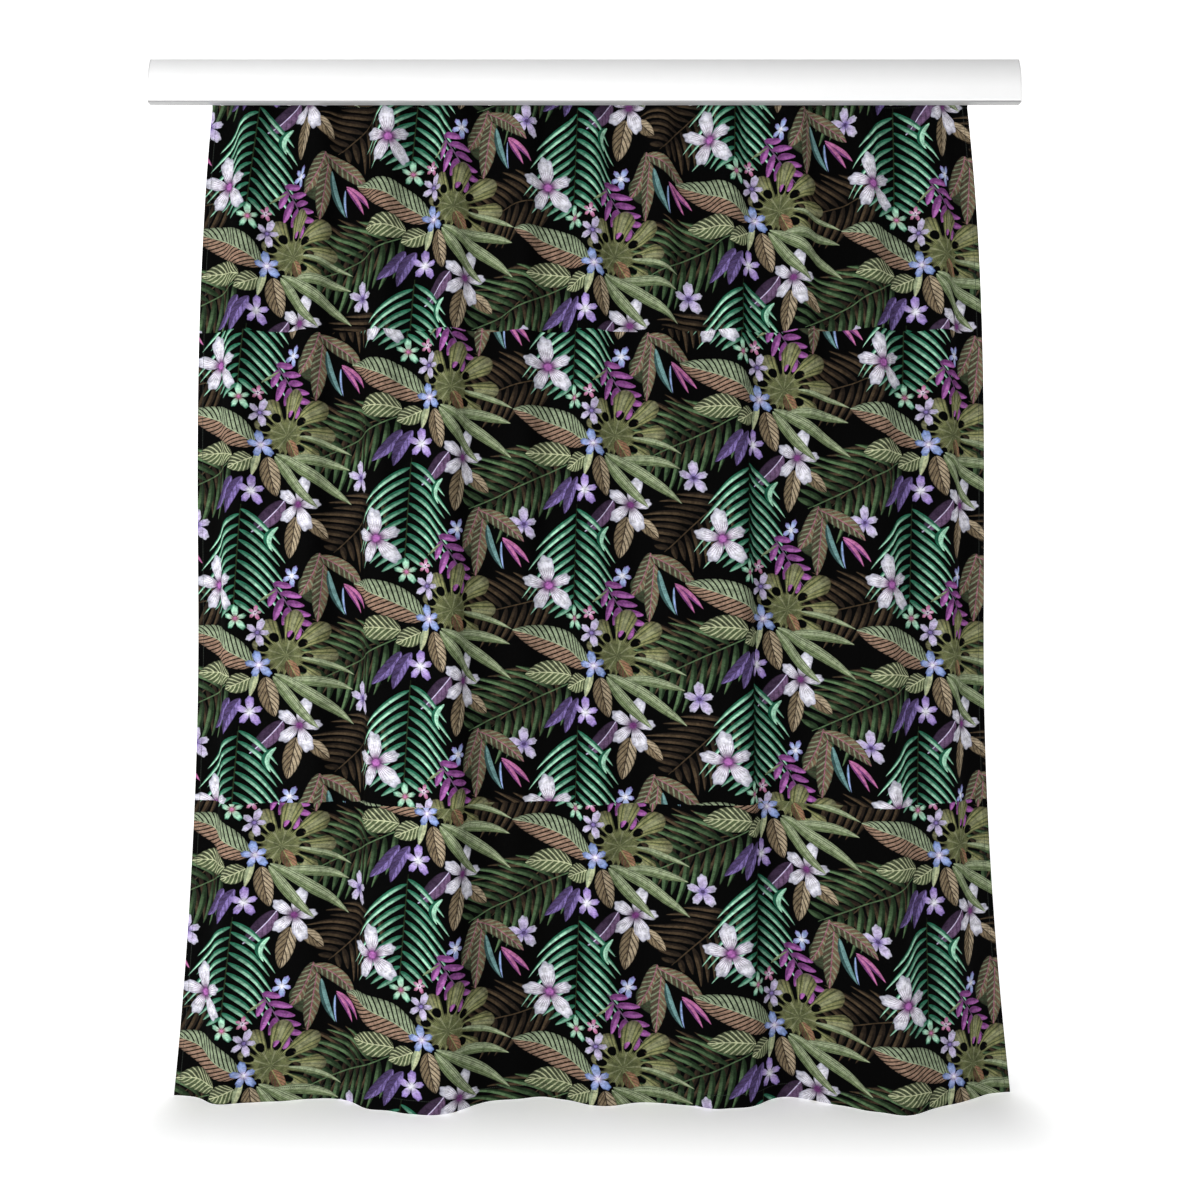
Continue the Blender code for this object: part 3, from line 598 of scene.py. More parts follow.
def new_material(name, roughness=0.5, **settings):
    """A material with a Principled shader, and its graph."""
    made = bpy.data.materials.get(name) or bpy.data.materials.new(name)
    made.use_nodes = True
    made.node_tree.nodes.clear()
    graph = Graph(made.node_tree)
    shader = graph.node("ShaderNodeBsdfPrincipled", {"Roughness": roughness, **settings})
    graph.node("ShaderNodeOutputMaterial", {"Surface": shader.outputs[0]})
    return made, graph, shader


def cloth_material(reverse=False):
    """The printed side, or the pale reverse where the print only ghosts through."""
    sizes = bpy.context.scene.curtain_sizes
    name = "Printed cloth reverse" if reverse else "Printed cloth"
    made, graph, shader = new_material(name, 0.85, **{"Specular IOR Level": 0.03})
    place = graph.node("ShaderNodeUVMap", uv_map="Cloth").outputs[0]
    weave = use_group(graph, weave_group(), {"Position": place, "Pitch": 0.0006})
    x, y, _ = graph.parts(place)
    printed = use_group(graph, print_group(), {"Position": place})["Colour"]
    tone = graph.ramp(weave["Mottle"], 0.3, 0.7, 0.96, 1.03)
    if reverse:
        printed = graph.blend(0.86, printed, (0.62, 0.64, 0.64))
    cotton = graph.node("ShaderNodeVectorMath", {0: printed, "Scale": tone}, operation="SCALE").outputs[0]
    top = graph.minus(y, CLOTH_TOP)
    side = (0.5 - (sizes.side_hem - 0.002) / sizes.width) * sizes.print_width
    lines = (
        (graph.plus(top, sizes.drop - sizes.hem + 0.003), x),
        (graph.plus(top, sizes.header - 0.003), x),
        (graph.minus(graph.math("ABSOLUTE", x), side), y),
    )
    thread, height = stitched(graph, lines)
    height = graph.scaled(weave["Height"], 0.35, height)
    colour = graph.blend(thread, cotton, (0.55, 0.56, 0.55) if reverse else (0.03, 0.035, 0.03))
    graph.wire(shader, "Base Color", colour)
    graph.bump(shader, height, 0.35, 0.0003)
    return made


# Surfaces


def add_object(name, data):
    """An object with that data, in the scene."""
    made = bpy.data.objects.new(name, data)
    bpy.context.scene.collection.objects.link(made)
    return made


def mesh_object(name, points, faces, material, uvs=None, smooth_angle=None):
    """A mesh object at the origin, from arrays of points and faces."""
    data = bpy.data.meshes.new(name)
    data.from_pydata(points.tolist(), [], faces)
    data.shade_smooth()
    if smooth_angle is not None:
        data.set_sharp_from_angle(angle=smooth_angle)
    if uvs is not None:
        layer = data.uv_layers.new(name="Cloth")
        loops = np.empty(len(data.loops), dtype=np.int32)
        data.loops.foreach_get("vertex_index", loops)
        layer.data.foreach_set("uv", uvs[loops].astype(np.float32).ravel())
    data.materials.append(material)
    return add_object(name, data)


def grid_faces(rows, columns, close_rows=False, close_columns=False):
    """Quads of a grid of points stored row by row, as one array."""
    last_row = rows if close_rows else rows - 1
    last_column = columns if close_columns else columns - 1
    row, column = np.meshgrid(np.arange(last_row), np.arange(last_column), indexing="ij")
    next_row, next_column = (row + 1) % rows, (column + 1) % columns
    quads = np.stack([
        row * columns + column, next_row * columns + column,
        next_row * columns + next_column, row * columns + next_column,
    ], axis=-1)
    return quads.reshape(-1, 4)


def capped_faces(rows, columns):
    """Quads of a closed tube of rows, with one face over each end."""
    count = rows * columns
    ends = [list(range(columns)), list(range(count - columns, count))[::-1]]
    return grid_faces(rows, columns, close_columns=True).tolist() + ends


def soften(obj, width, segments):
    """Rounds the sharp edges with a bevel."""
    bevel = obj.modifiers.new("edges", "BEVEL")
    bevel.width, bevel.segments, bevel.limit_method = width, segments, "ANGLE"
    bevel.angle_limit = math.radians(40)
    bevel.harden_normals = True


def place_piece(obj, node, body):
    """Puts a finished piece in place of a CAD node, on its body."""
    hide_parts(node)
    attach(obj, body)


def smoothstep(value):
    """0 below 0, 1 above 1, and an even S between."""
    value = np.clip(value, 0.0, 1.0)
    return value * value * (3 - 2 * value)


CLOTH_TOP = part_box("curtain_cloth")[1][2]
LEVEL_POINTS = 1801
DEEPEST_BOW = 0.08
HALVINGS = 30
# Crests and troughs of the hem: share of the cut width, and depth in metres (minus is forward).
HEM_WAVES = (
    (0.000, 0.010), (0.080, -0.028), (0.165, -0.002), (0.300, -0.076), (0.424, 0.004),
    (0.520, -0.034), (0.575, -0.020), (0.640, -0.052), (0.728, 0.000), (0.846, -0.073),
    (1.000, 0.024),
)


def header_bows(flat, sizes):
    """Header's depth: 0 at each eyelet, and minus sin squared once between two of them."""
    spacing = (sizes.width - 2 * sizes.side_margin) / (CARRIERS - 1)
    within = np.mod(flat - sizes.side_margin, spacing)
    share = (within - sizes.flat_half) / (spacing - 2 * sizes.flat_half)
    inside = (flat > sizes.side_margin) & (flat < sizes.width - sizes.side_margin)
    inside &= (share > 0) & (share < 1)
    return np.where(inside, -np.sin(math.pi * np.clip(share, 0, 1)) ** 2, 0.0)


def hem_waves(flat, sizes):
    """Hem's depth: a half cosine from each crest or trough to the next."""
    places = np.array([share * sizes.width for share, _ in HEM_WAVES])
    depths = np.array([depth for _, depth in HEM_WAVES])
    index = np.clip(np.searchsorted(places, flat, side="right") - 1, 0, len(places) - 2)
    share = (flat - places[index]) / (places[index + 1] - places[index])
    rise = (1 - np.cos(math.pi * np.clip(share, 0, 1))) / 2
    return depths[index] + (depths[index + 1] - depths[index]) * rise


def hung_row(height, sizes):
    """(flat, x, y) along one level, whose length stays the cut width.

    Depth y is the header's bows times a size, plus the hem's waves, which fade in down the cloth.
    A step ds of cloth spans dx = sqrt(ds^2 - dy^2), and the bows' size is halved in on until the
    spans add up to the hung width.
    """
    share = float(np.clip((CLOTH_TOP - sizes.header - height) / (sizes.drop - sizes.header), 0, 1))
    flat = np.linspace(0, sizes.width, LEVEL_POINTS)
    step = flat[1] - flat[0]
    waves = hem_waves(flat, sizes) * float(smoothstep(share / sizes.settles))
    below = 2 * share - 1
    flare = sizes.waist * (1 + below**3) if below < 0 else sizes.waist + (1 - sizes.waist) * below**2
    width = sizes.top_width + (sizes.hem_width - sizes.top_width) * flare
    bows = header_bows(flat, sizes)
    low, high = 0.0, DEEPEST_BOW
    for _ in range(HALVINGS):
        bow = (low + high) / 2
        depth = bows * bow + waves
        across = np.sqrt(np.maximum(1 - (np.diff(depth) / step) ** 2, 0.05)) * step
        if across.sum() > width:
            low = bow
        else:
            high = bow
    x = np.concatenate([[0.0], np.cumsum(across)])
    centre = sizes.top_offset + (sizes.hem_offset - sizes.top_offset) * share
    return flat, x - x[-1] / 2 + centre, depth


def cloth_columns(sizes):
    """Flat places of the columns, and how far behind the front each lies: sides are turned in."""
    spacing = (sizes.width - 2 * sizes.side_margin) / (CARRIERS - 1)
    places = [np.array([0.0, 0.003])]
    for index in range(CARRIERS):
        eye = sizes.side_margin + index * spacing
        places.append(eye + np.linspace(-sizes.flat_half, sizes.flat_half, 11))
        if index < CARRIERS - 1:
            places.append(np.linspace(eye + sizes.flat_half, eye + spacing - sizes.flat_half, 13)[1:-1])
    places.append(np.array([sizes.width - 0.003, sizes.width]))
    front = np.concatenate(places)
    turned = np.array([sizes.side_hem, sizes.side_hem * 0.5, 0.0005, 0.0])
    behind = np.array([0.0011, 0.0012, 0.0012, 0.0007])
    flat = np.concatenate([turned, front, sizes.width - turned[::-1]])
    depth = np.concatenate([behind, np.zeros(len(front)), behind[::-1]])
    spread = np.concatenate([-turned, front, sizes.width + turned[::-1]])
    return flat, depth, spread


def cloth_rows(sizes):
    """(height, behind, side share, length down the cloth) of each row.

    The front falls straight, turns half a circle of the tunnel's radius, and rises behind.
    """
    rows = [(CLOTH_TOP - s, 0.0, 1.0, s) for s in np.linspace(0, sizes.header, 15)]
    foot = sizes.tunnel / 2
    turned = sizes.drop - sizes.hem
    rows += [(CLOTH_TOP - s, 0.0, 1.0, s) for s in np.linspace(sizes.header, turned, 112)[1:]]
    rows += [(CLOTH_TOP - s, 0.0, 1.0, s) for s in np.linspace(turned, sizes.drop - foot, 5)[1:]]
    base = CLOTH_TOP - sizes.drop + foot
    for turn in np.linspace(0, math.pi, 7)[1:]:
        rows.append((base - foot * math.sin(turn), foot * (1 - math.cos(turn)), math.cos(turn),
                     sizes.drop - foot + foot * turn))
    start = rows[-1][3]
    for rise in np.linspace(0, sizes.hem - foot, 5)[1:]:
        tuck = sizes.tunnel if rise < sizes.hem * 0.7 else 0.0020
        rows.append((base + rise, tuck, -1.0, start + rise))
    return rows


def sheet_points(rows, columns, sizes):
    """Points of the hung cloth, moved behind its front along the normal of each level.

    Below the header the front also has small creases, with s the flat place and d the share down:
    y += 0.0016 sin(61 s + 2.1 sin 5d) + 0.0011 sin(97 s + 3d + 1) sin(9d + 1).
    """
    flat_places, depth, _ = columns
    points = np.empty((len(rows), len(flat_places), 3))
    for number, (height, behind, side, _) in enumerate(rows):
        flat, x, y = hung_row(height, sizes)
        run, rise = np.gradient(x, flat), np.gradient(y, flat)
        scale = np.hypot(run, rise)
        share = float(np.clip((CLOTH_TOP - height) / sizes.drop, 0, 1))
        soft = smoothstep((share - 0.02) / 0.15)
        crease = 0.0016 * np.sin(flat * 61 + 2.1 * math.sin(share * 5)) + 0.0011 * np.sin(
            flat * 97 + 3.0 * share + 1.0) * math.sin(share * 9 + 1)
        push = behind + side * depth
        x_at, y_at = np.interp(flat_places, flat, x), np.interp(flat_places, flat, y + crease * soft)
        nx, ny = -np.interp(flat_places, flat, rise / scale), np.interp(flat_places, flat, run / scale)
        points[number, :, 0] = x_at + push * nx
        points[number, :, 1] = y_at + push * ny
        points[number, :, 2] = height
    return points


def open_eyelet_holes(faces, points, sizes):
    """Leaves out the faces over each eyelet's bore, and rounds the edge of what is left."""
    centres = points[faces].mean(axis=1)
    keep = np.ones(len(faces), dtype=bool)
    for index in range(CARRIERS):
        eye = box_centre(f"eyelet_{index + 1:02d}")
        away = np.hypot(centres[:, 0] - eye[0], centres[:, 2] - eye[2])
        near = (away < sizes.bore) & (np.abs(centres[:, 1]) < 0.01)
        keep &= ~near
        rim = np.unique(faces[near])
        rim = rim[np.isin(rim, np.unique(faces[keep]))]
        offset = points[rim][:, [0, 2]] - eye[[0, 2]]
        reach = np.maximum(np.hypot(offset[:, 0], offset[:, 1]), 1e-6)
        points[rim, 0] = eye[0] + offset[:, 0] / reach * (sizes.bore + 0.0008)
        points[rim, 2] = eye[2] + offset[:, 1] / reach * (sizes.bore + 0.0008)
    return faces[keep]


def thicken(obj, thickness, offset=0.0, back=0):
    """Gives an open surface its thickness for good, with the back face on its own material."""
    modifier = obj.modifiers.new("thickness", "SOLIDIFY")
    modifier.thickness = thickness
    modifier.offset = offset
    modifier.material_offset = back
    bpy.context.view_layer.update()
    data = bpy.data.meshes.new_from_object(obj.evaluated_get(bpy.context.evaluated_depsgraph_get()))
    obj.modifiers.clear()
    obj.data = data
    return obj


def cloth_places(spread, rows, sizes):
    """Each point's place on the flat print: across from the middle, and down from the top edge."""
    across = (spread / sizes.width - 0.5) * sizes.print_width
    down = CLOTH_TOP - np.array([row[3] for row in rows])
    return np.stack(np.broadcast_arrays(across[None, :], down[:, None]), axis=-1).reshape(-1, 2)


def bake_map(obj, sizes):
    """A second UV map for baking: the front above, and the reverse in a low strip below it."""
    data = obj.data
    places = np.empty(2 * len(data.loops), dtype=np.float32)
    data.uv_layers["Cloth"].data.foreach_get("uv", places)
    places = places.reshape(-1, 2)
    across = np.clip(places[:, 0] / sizes.print_width + 0.5, -0.01, 1.01) * 0.97 + 0.015
    up = (places[:, 1] - CLOTH_TOP + sizes.drop + 0.04) / (sizes.drop + 0.04)
    slots = np.empty(len(data.polygons), dtype=np.int32)
    data.polygons.foreach_get("material_index", slots)
    counts = np.empty(len(data.polygons), dtype=np.int32)
    data.polygons.foreach_get("loop_total", counts)
    reverse = np.repeat(slots, counts) == 1
    up = np.where(reverse, 0.004 + 0.12 * up, 0.14 + 0.855 * up)
    layer = data.uv_layers.new(name="OFBake")
    layer.data.foreach_set("uv", np.stack([across, up], axis=1).astype(np.float32).ravel())


def gather(obj):
    """Gives a soft piece a mesh of its own."""
    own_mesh(obj)


class CURTAIN_OT_cloth(Operator):
    """Hang the printed cloth in its folds"""

    bl_idname = "curtain.cloth"
    bl_label = "Hang the cloth"

    def execute(self, context):
        sizes = context.scene.curtain_sizes
        rows, columns = cloth_rows(sizes), cloth_columns(sizes)
        points = sheet_points(rows, columns, sizes)
        shape = points.shape[:2]
        flat = points.reshape(-1, 3)
        faces = open_eyelet_holes(grid_faces(*shape), flat, sizes)
        uvs = cloth_places(columns[2], rows, sizes)
        cloth = mesh_object("curtain_sheet", flat, faces.tolist(), cloth_material(), uvs)
        cloth.data.materials.append(cloth_material(reverse=True))
        thicken(cloth, sizes.thickness, back=1)
        bake_map(cloth, sizes)
        place_piece(cloth, "curtain_cloth", "rail")
        gather(cloth)
        return {"FINISHED"}


def plastic_material(name, tint, roughness, foot=None):
    """Extruded or moulded plastic: faint die lines along X, and a faint change of gloss.

    Below the height foot it is painted grey: a painted shade line along the lower edge, where the lip's
    underside is shaded.
    """
    made, graph, shader = new_material(name, roughness, **{"Coat Weight": 0.15, "Coat Roughness": 0.15})
    place = graph.node("ShaderNodeTexCoord").outputs["Object"]
    lines = graph.node("ShaderNodeTexNoise", {
        "Vector": graph.vector("MULTIPLY", place, (2.0, 700.0, 700.0)), "Scale": 1.0, "Detail": 2.0})
    cloud = graph.node("ShaderNodeTexNoise", {"Vector": place, "Scale": 8.0, "Detail": 2.0})
    dust_and_painted_shade = graph.ramp(cloud.outputs[0], 0.2, 0.8, 0.0, 0.3)
    dust_and_painted_shade = graph.blend(dust_and_painted_shade, tint, tuple(0.96 * c for c in tint))
    if foot is not None:
        # Painted shade: below foot the cover is painted grey, standing in for the shaded underside of its
        # lip.
        painted_lip_shade = graph.ramp(graph.parts(place)[2], foot + 0.0004, foot - 0.0004)
        dust_and_painted_shade = graph.blend(painted_lip_shade, dust_and_painted_shade, (0.34, 0.34, 0.34))
    graph.wire(shader, "Base Color", dust_and_painted_shade)
    gloss = graph.ramp(cloud.outputs[0], 0.2, 0.8, roughness - 0.03, roughness + 0.04)
    graph.wire(shader, "Roughness", gloss)
    graph.bump(shader, lines.outputs[0], 0.06, 0.0002)
    return made


def steel_material():
    """Nickel plated steel with fine scratches."""
    made, graph, shader = new_material("Plated steel", 0.25, Metallic=1.0)
    place = graph.node("ShaderNodeTexCoord").outputs["Object"]
    grain = graph.node("ShaderNodeTexNoise", {"Vector": place, "Scale": 900.0, "Detail": 3.0})
    patch = graph.node("ShaderNodeTexNoise", {"Vector": place, "Scale": 120.0, "Detail": 3.0})
    colour = graph.blend(graph.ramp(patch.outputs[0], 0.4, 0.7), (0.66, 0.66, 0.64), (0.52, 0.52, 0.51))
    graph.wire(shader, "Base Color", colour)
    graph.wire(shader, "Roughness", graph.ramp(grain.outputs[0], 0.3, 0.7, 0.17, 0.36))
    return made


def tape_material():
    """Ribbed woven tape with a stitch row near each edge."""
    sizes = bpy.context.scene.curtain_sizes
    made, graph, shader = new_material("Header tape", 0.85, **{"Specular IOR Level": 0.2})
    place = graph.node("ShaderNodeUVMap", uv_map="Cloth").outputs[0]
    weave = use_group(graph, weave_group(), {"Position": place, "Pitch": 0.0009})
    x, y, _ = graph.parts(place)
    depth = graph.minus(y, CLOTH_TOP)
    edges = (0.005, sizes.header - 0.005)
    thread, height = stitched(graph, [(graph.plus(depth, down), x) for down in edges])
    tone = graph.blend(graph.ramp(weave["Mottle"], 0.3, 0.7), (0.66, 0.66, 0.64), (0.74, 0.74, 0.72))
    graph.wire(shader, "Base Color", graph.blend(thread, tone, (0.45, 0.46, 0.45)))
    height = graph.plus(height, weave["Height"])
    graph.bump(shader, height, 0.5, 0.0003)
    return made


def cord_material():
    """Braided cord: strands that cross both ways around it."""
    made, graph, shader = new_material("Weight cord", 0.8)
    x, y, _ = graph.parts(graph.node("ShaderNodeUVMap", uv_map="Cloth").outputs[0])
    run, turn = graph.times(x, 1100.0), graph.times(y, math.tau * 3)
    left = graph.math("SINE", graph.plus(run, turn))
    right = graph.math("SINE", graph.minus(run, turn))
    braid = graph.math("MAXIMUM", left, right)
    # Painted shade: the colour is darker where the braid is low, in the hollows between strands.
    tone = graph.blend(graph.ramp(braid, 0.0, 1.0), (0.42, 0.42, 0.40), (0.68, 0.68, 0.66))
    graph.wire(shader, "Base Color", tone)
    graph.bump(shader, braid, 0.5, 0.0004)
    return made


def body_name(index):
    """The body that a carrier's pieces ride on: the first one is fixed to the rail."""
    return "rail" if index == 1 else f"carrier_{index:02d}"


def finished_copy(node, material, body, edge):
    """A merged copy of a CAD node with softened edges, in its place."""
    data = bpy.data.objects[node].data.copy()
    data.transform(bpy.data.objects[node].matrix_world)
    cleaned = bmesh.new()
    cleaned.from_mesh(data)
    bmesh.ops.remove_doubles(cleaned, verts=cleaned.verts, dist=1e-5)
    bmesh.ops.dissolve_limit(
        cleaned, angle_limit=math.radians(1), verts=cleaned.verts, edges=cleaned.edges)
    cleaned.to_mesh(data)
    cleaned.free()
    data.materials.clear()
    data.materials.append(material)
    data.shade_smooth()
    data.set_sharp_from_angle(angle=math.radians(32))
    obj = add_object(f"{node}_finish", data)
    soften(obj, edge, 2)
    place_piece(obj, node, body)


def tube(name, path, radius, sides, material):
    """A round tube along a path that lies in one plane, with capped ends and its own UVs."""
    step = np.gradient(path, axis=0)
    step /= np.linalg.norm(step, axis=1)[:, None]
    flat_axis = np.array([0, 0, 1.0]) if np.ptp(path[:, 2]) < 1e-6 else np.array([1.0, 0, 0])
    other = np.cross(step, flat_axis)
    turn = np.linspace(0, math.tau, sides, endpoint=False)
    points = path[:, None, :] + radius * (
        np.cos(turn)[None, :, None] * flat_axis + np.sin(turn)[None, :, None] * other[:, None, :])
    faces = capped_faces(len(path), sides)
    run = np.concatenate([[0], np.cumsum(np.linalg.norm(np.diff(path, axis=0), axis=1))])
    uvs = np.stack(np.broadcast_arrays(run[:, None], turn[None, :] / math.tau), axis=-1).reshape(-1, 2)
    return outward(mesh_object(name, points.reshape(-1, 3), faces, material, uvs, math.radians(50)))


def outward(obj):
    """Turns the faces of a closed piece outward."""
    shape = bmesh.new()
    shape.from_mesh(obj.data)
    bmesh.ops.recalc_face_normals(shape, faces=shape.faces)
    shape.to_mesh(obj.data)
    shape.free()
    return obj


class CURTAIN_OT_header_tape(Operator):
    """Sew the stiff tape behind the top of the cloth"""

    bl_idname = "curtain.header_tape"
    bl_label = "Sew the header tape"

    def execute(self, context):
        sizes = context.scene.curtain_sizes
        flat, _, spread = cloth_columns(sizes)
        inner = slice(4, len(flat) - 4)
        columns = (flat[inner], np.zeros(len(flat) - 8), spread[inner])
        rows = [(CLOTH_TOP - s, 0.0014, 1.0, s) for s in np.linspace(0.002, sizes.header - 0.002, 15)]
        points = sheet_points(rows, columns, sizes)
        shape = points.shape[:2]
        faces = open_eyelet_holes(grid_faces(*shape), points.reshape(-1, 3), sizes)
        uvs = cloth_places(columns[2], rows, sizes)
        tape = mesh_object("sewn_tape", points.reshape(-1, 3), faces.tolist(), tape_material(), uvs)
        thicken(tape, 0.0007)
        place_piece(tape, "header_tape", "rail")
        gather(tape)
        return {"FINISHED"}


class CURTAIN_OT_hem_cord(Operator):
    """Thread the weight cord through the hem"""

    bl_idname = "curtain.hem_cord"
    bl_label = "Thread the weight cord"

    def execute(self, context):
        sizes = context.scene.curtain_sizes
        low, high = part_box("hem_weight_cord")
        height = (low[2] + high[2]) / 2
        rows = [(height, sizes.tunnel / 2, 1.0, 0.0)]
        flat = np.linspace(0.004, sizes.width - 0.004, 500)
        path = sheet_points(rows, (flat, np.zeros_like(flat), flat), sizes)[0]
        cord = tube("threaded_cord", path, 0.0018, 12, cord_material())
        place_piece(cord, "hem_weight_cord", "rail")
        gather(cord)
        return {"FINISHED"}


class CURTAIN_OT_cover(Operator):
    """Fit the smooth front cover"""

    bl_idname = "curtain.cover"
    bl_label = "Fit the front cover"

    def execute(self, context):
        low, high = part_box("fascia_cover")
        reach, height, upright, radius, wall, lip = -low[1], -low[2], 0.030, 0.120, 0.002, 0.014

        def arc(size, start, end, count):
            """Points of the face of that radius between two heights."""
            centre, level = radius - reach, upright - height
            first, last = (math.asin(max(z - level, 0) / size) for z in (start, end))
            turn = np.linspace(first, last, count)
            points = np.stack([centre - size * np.cos(turn), level + size * np.sin(turn)], axis=1)
            return points if start >= level else np.concatenate([[[centre - size, start]], points])

        under = -0.0058
        front = arc(radius, -height, high[2], 49)
        groove = [[0, 0.0034], [0.0011, 0.0038], [0.0011, 0.0050], [0, 0.0054]]
        outline = np.concatenate([
            front[:1], np.array(groove) + (-reach, -height), front[1:],
            arc(radius - wall, under, high[2] - wall, 6)[::-1],
            [[high[1], under], [high[1], under - wall]],
            arc(radius - wall, -height + wall, under - wall, 41)[::-1],
            [[lip - reach, -height + wall], [lip - reach, -height]],
        ])
        along = np.linspace(low[0], high[0], 9)
        points = np.concatenate([
            np.column_stack([np.full(len(outline), x), outline]) for x in along])
        faces = capped_faces(len(along), len(outline))
        # The grey below foot is a painted shade line along the cover's lower edge.
        white = plastic_material("Cover plastic", (0.90, 0.90, 0.90), 0.30, low[2] + 0.0034)
        cover = outward(mesh_object("smooth_cover", points, faces, white, smooth_angle=math.radians(30)))
        soften(cover, 0.0005, 3)
        place_piece(cover, "fascia_cover", "rail")
        return {"FINISHED"}


class CURTAIN_OT_fittings(Operator):
    """Finish the rail, its caps and stops, and the gliders"""

    bl_idname = "curtain.fittings"
    bl_label = "Finish the fittings"

    def execute(self, context):
        white = plastic_material("White plastic", (0.90, 0.90, 0.90), 0.30)
        nylon = plastic_material("White nylon", (0.78, 0.78, 0.75), 0.42)
        steel = steel_material()
        for node in ("rail_profile", "end_cap_left", "end_cap_right"):
            finished_copy(node, white, "rail", 0.0003)
        for side in ("left", "right"):
            finished_copy(f"end_stop_{side}", nylon, "rail", 0.0004)
            finished_copy(f"end_stop_{side}_screw", steel, "rail", 0.0002)
        for index in range(1, CARRIERS + 1):
            finished_copy(f"glider_{index:02d}", nylon, body_name(index), 0.0004)
        return {"FINISHED"}


class CURTAIN_OT_rings(Operator):
    """Bend the open rings and turn the eyelets"""

    bl_idname = "curtain.rings"
    bl_label = "Make the rings and eyelets"

    def execute(self, context):
        steel = steel_material()
        wire_radius, gap = 0.0013, math.radians(18)
        for index in range(1, CARRIERS + 1):
            low, high = (np.array(corner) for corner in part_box(f"ring_{index:02d}"))
            middle, tall = (low + high) / 2, (high[2] - low[2]) / 2 - wire_radius
            deep = -low[1] - wire_radius
            turn = np.linspace(gap, math.tau - gap, 97)
            path = np.stack([
                np.full(97, middle[0]), deep * np.cos(turn), middle[2] + tall * np.sin(turn)], axis=1)
            ring = tube(f"bent_ring_{index:02d}", path, wire_radius, 16, steel)
            place_piece(ring, f"ring_{index:02d}", body_name(index))
            low, high = (np.array(corner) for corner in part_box(f"eyelet_{index:02d}"))
            middle, front, back, flange = (low + high) / 2, -low[1], high[1], (high[0] - low[0]) / 2
            turn = np.linspace(-math.pi / 2, math.pi / 2, 7)
            bore, wall, half = 0.0060, 0.0008, 0.0004
            rim = np.stack([flange - half + half * np.cos(turn[::-1]), half * np.sin(turn[::-1])], axis=1)
            rims = [
                np.array([[bore, front - half], [bore + half, front]]),
                rim + (0, front - half),
                np.array([[bore + wall, front - wall], [bore + wall, wall - back]]),
                rim + (0, half - back),
                np.array([[bore + half, -back], [bore, half - back]]),
            ]
            profile = np.concatenate(rims)
            around = np.linspace(0, math.tau, 64, endpoint=False)
            radius, depth = profile[:, 0], profile[:, 1]
            points = np.stack([
                middle[0] + np.cos(around)[:, None] * radius, np.broadcast_to(-depth, (64, len(depth))),
                middle[2] + np.sin(around)[:, None] * radius,
            ], axis=-1).reshape(-1, 3)
            faces = grid_faces(64, len(profile), close_rows=True, close_columns=True)
            eyelet = mesh_object(
                f"turned_eyelet_{index:02d}", points, faces.tolist(), steel, smooth_angle=math.radians(50))
            outward(eyelet)
            place_piece(eyelet, f"eyelet_{index:02d}", body_name(index))
        return {"FINISHED"}


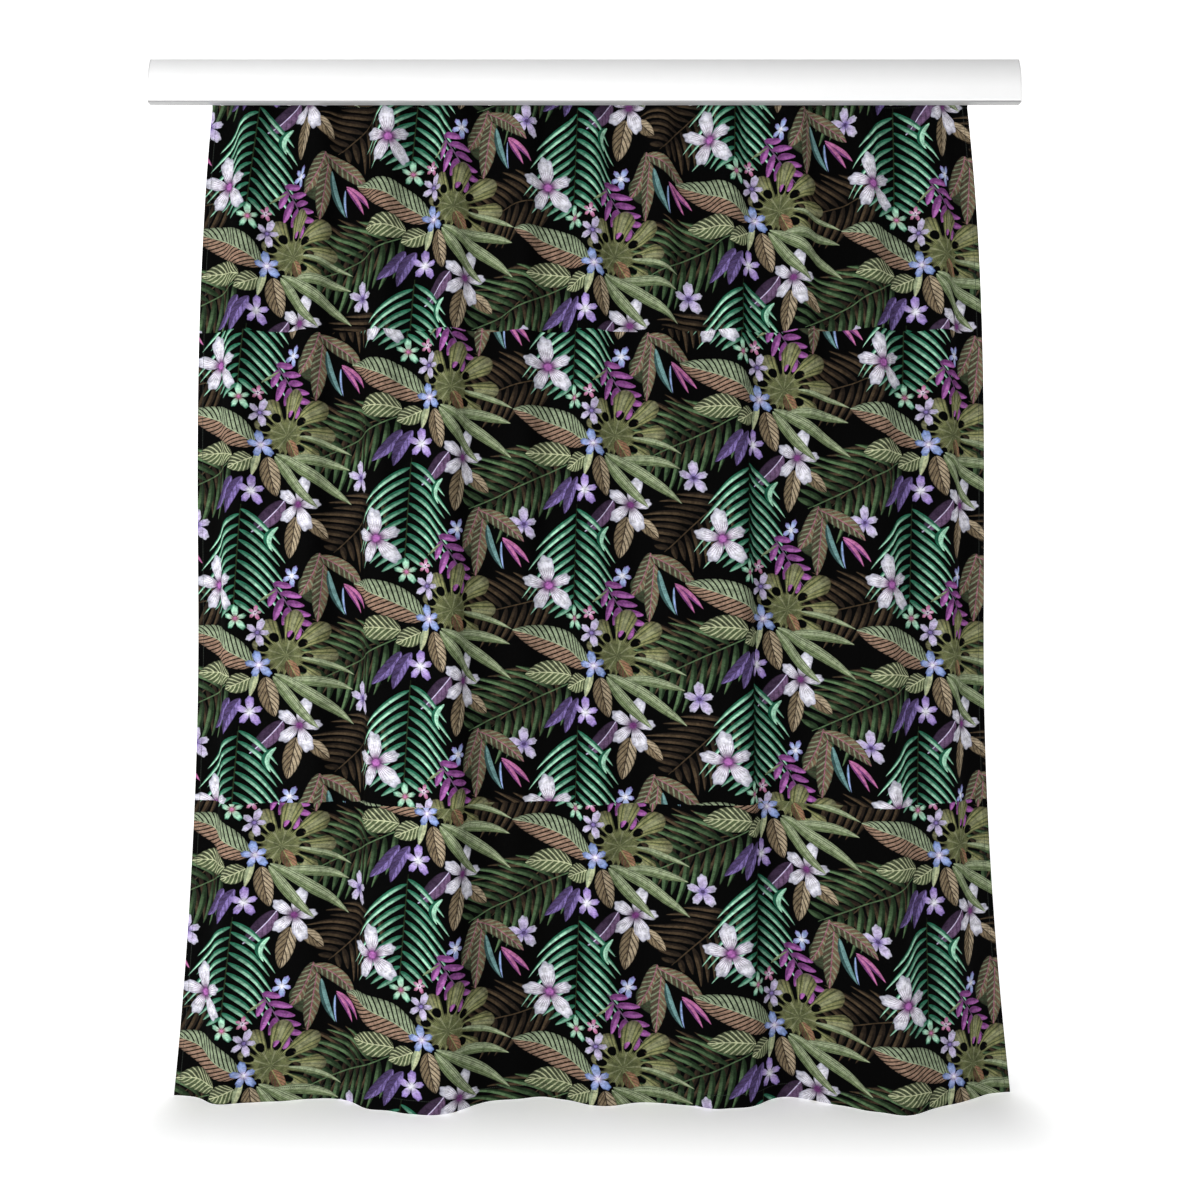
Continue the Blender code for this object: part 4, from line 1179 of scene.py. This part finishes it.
class CURTAIN_OT_studio(Operator):
    """Set out the floor, the backdrop, the lights and the camera"""

    bl_idname = "curtain.studio"
    bl_label = "Set out the studio"

    def execute(self, context):
        studio = context.scene.curtain_studio
        paper, graph, shader = new_material("Studio paper", 0.9)
        shader.inputs["Base Color"].default_value = (0.93, 0.93, 0.93, 1)
        shader.inputs["Emission Strength"].default_value = 1.0
        place = graph.parts(graph.node("ShaderNodeTexCoord").outputs["Object"])
        # The paper glows evenly, but less in a band at the curtain's foot: a painted shadow that fades
        # towards the camera, behind the cloth and past its sides.
        side = graph.ramp(graph.math("ABSOLUTE", graph.minus(place[0], 0.02)), 0.98, 0.76)
        shade = graph.times(graph.ramp(place[1], -0.34, -0.02), graph.ramp(place[1], 0.5, 0.1))
        shade = graph.times(shade, side)
        glow_with_painted_shadow = graph.blend(shade, (0.80, 0.80, 0.80), (0.38, 0.38, 0.38))
        graph.wire(shader, "Emission Color", glow_with_painted_shadow)
        turn = np.linspace(0, math.pi / 2, 17)
        back, radius = 10.0, 3.0
        bend = radius * np.stack([np.sin(turn) - 1, 1 - np.cos(turn)], axis=1) + (back, studio.floor)
        line = np.concatenate([[(-14.0, studio.floor)], bend, [(back, studio.floor + 9.0)]])
        points = np.stack([
            np.concatenate([np.full(len(line), side) for side in (-14.0, 14.0)]),
            np.tile(line[:, 0], 2), np.tile(line[:, 1], 2),
        ], axis=1)
        sweep = mesh_object("studio_floor", points, grid_faces(2, len(line)).tolist(), paper)
        for name, place, size, power in (
            ("key", (-2.2, -2.6, -1.4), 1.8, 86.0), ("fill", (2.3, -2.7, -1.5), 2.4, 19.0),
        ):
            light = bpy.data.lights.new(name, "AREA")
            light.shape, light.size, light.energy = "SQUARE", size, power
            lamp = add_object(name, light)
            lamp.location = place
            aim = Vector((0, 0, -1.0)) - Vector(place)
            lamp.rotation_euler = aim.to_track_quat("-Z", "Y").to_euler()
        world = bpy.data.worlds.new("Studio")
        world.use_nodes = True
        sky = Graph(world.node_tree)
        background = world.node_tree.nodes["Background"]
        rise = sky.parts(sky.node("ShaderNodeTexCoord").outputs["Generated"])[2]
        sky.tree.links.new(sky.ramp(rise, 0.0, 0.65, 0.68, 0.16), background.inputs["Strength"])
        background.inputs["Color"].default_value = (1, 1, 1, 1)
        context.scene.world = world
        context.scene.view_settings.view_transform = "Standard"
        camera = bpy.data.cameras.new("Camera")
        camera.lens, camera.sensor_width = studio.focal, 36.0
        view = add_object("Camera", camera)
        view.location = (studio.shift, -studio.distance, studio.height)
        view.rotation_euler = (math.pi / 2, 0, 0)
        context.scene.camera = view
        return {"FINISHED"}


OPERATORS = (
    CURTAIN_OT_cloth, CURTAIN_OT_header_tape, CURTAIN_OT_hem_cord, CURTAIN_OT_cover, CURTAIN_OT_fittings,
    CURTAIN_OT_rings, CURTAIN_OT_studio,
)


class CURTAIN_PT_panel(Panel):
    """Lists the curtain's operators"""

    bl_idname = "CURTAIN_PT_panel"
    bl_label = "Printed shower curtain"
    bl_space_type = "VIEW_3D"
    bl_region_type = "UI"
    bl_category = "Curtain"

    def draw(self, context):
        for operator in OPERATORS:
            self.layout.operator(operator.bl_idname)


SETTINGS = (
    ("curtain_sizes", CurtainSizes), ("curtain_print", PrintSettings), ("curtain_studio", StudioSettings),
)
CLASSES = tuple(group for _, group in SETTINGS) + OPERATORS + (CURTAIN_PT_panel,)


def register():
    """Registers the classes, and puts the settings on the scene."""
    for item in CLASSES:
        bpy.utils.register_class(item)
    for name, group in SETTINGS:
        setattr(bpy.types.Scene, name, PointerProperty(type=group))


def unregister():
    """Takes the settings and the classes away again."""
    for name, _ in reversed(SETTINGS):
        delattr(bpy.types.Scene, name)
    for item in reversed(CLASSES):
        bpy.utils.unregister_class(item)


def main():
    """Builds every piece in order."""
    register()
    bpy.ops.curtain.cloth()
    bpy.ops.curtain.header_tape()
    bpy.ops.curtain.hem_cord()
    bpy.ops.curtain.cover()
    bpy.ops.curtain.fittings()
    bpy.ops.curtain.rings()
    bpy.ops.curtain.studio()


if __name__ == "__main__":
    main()
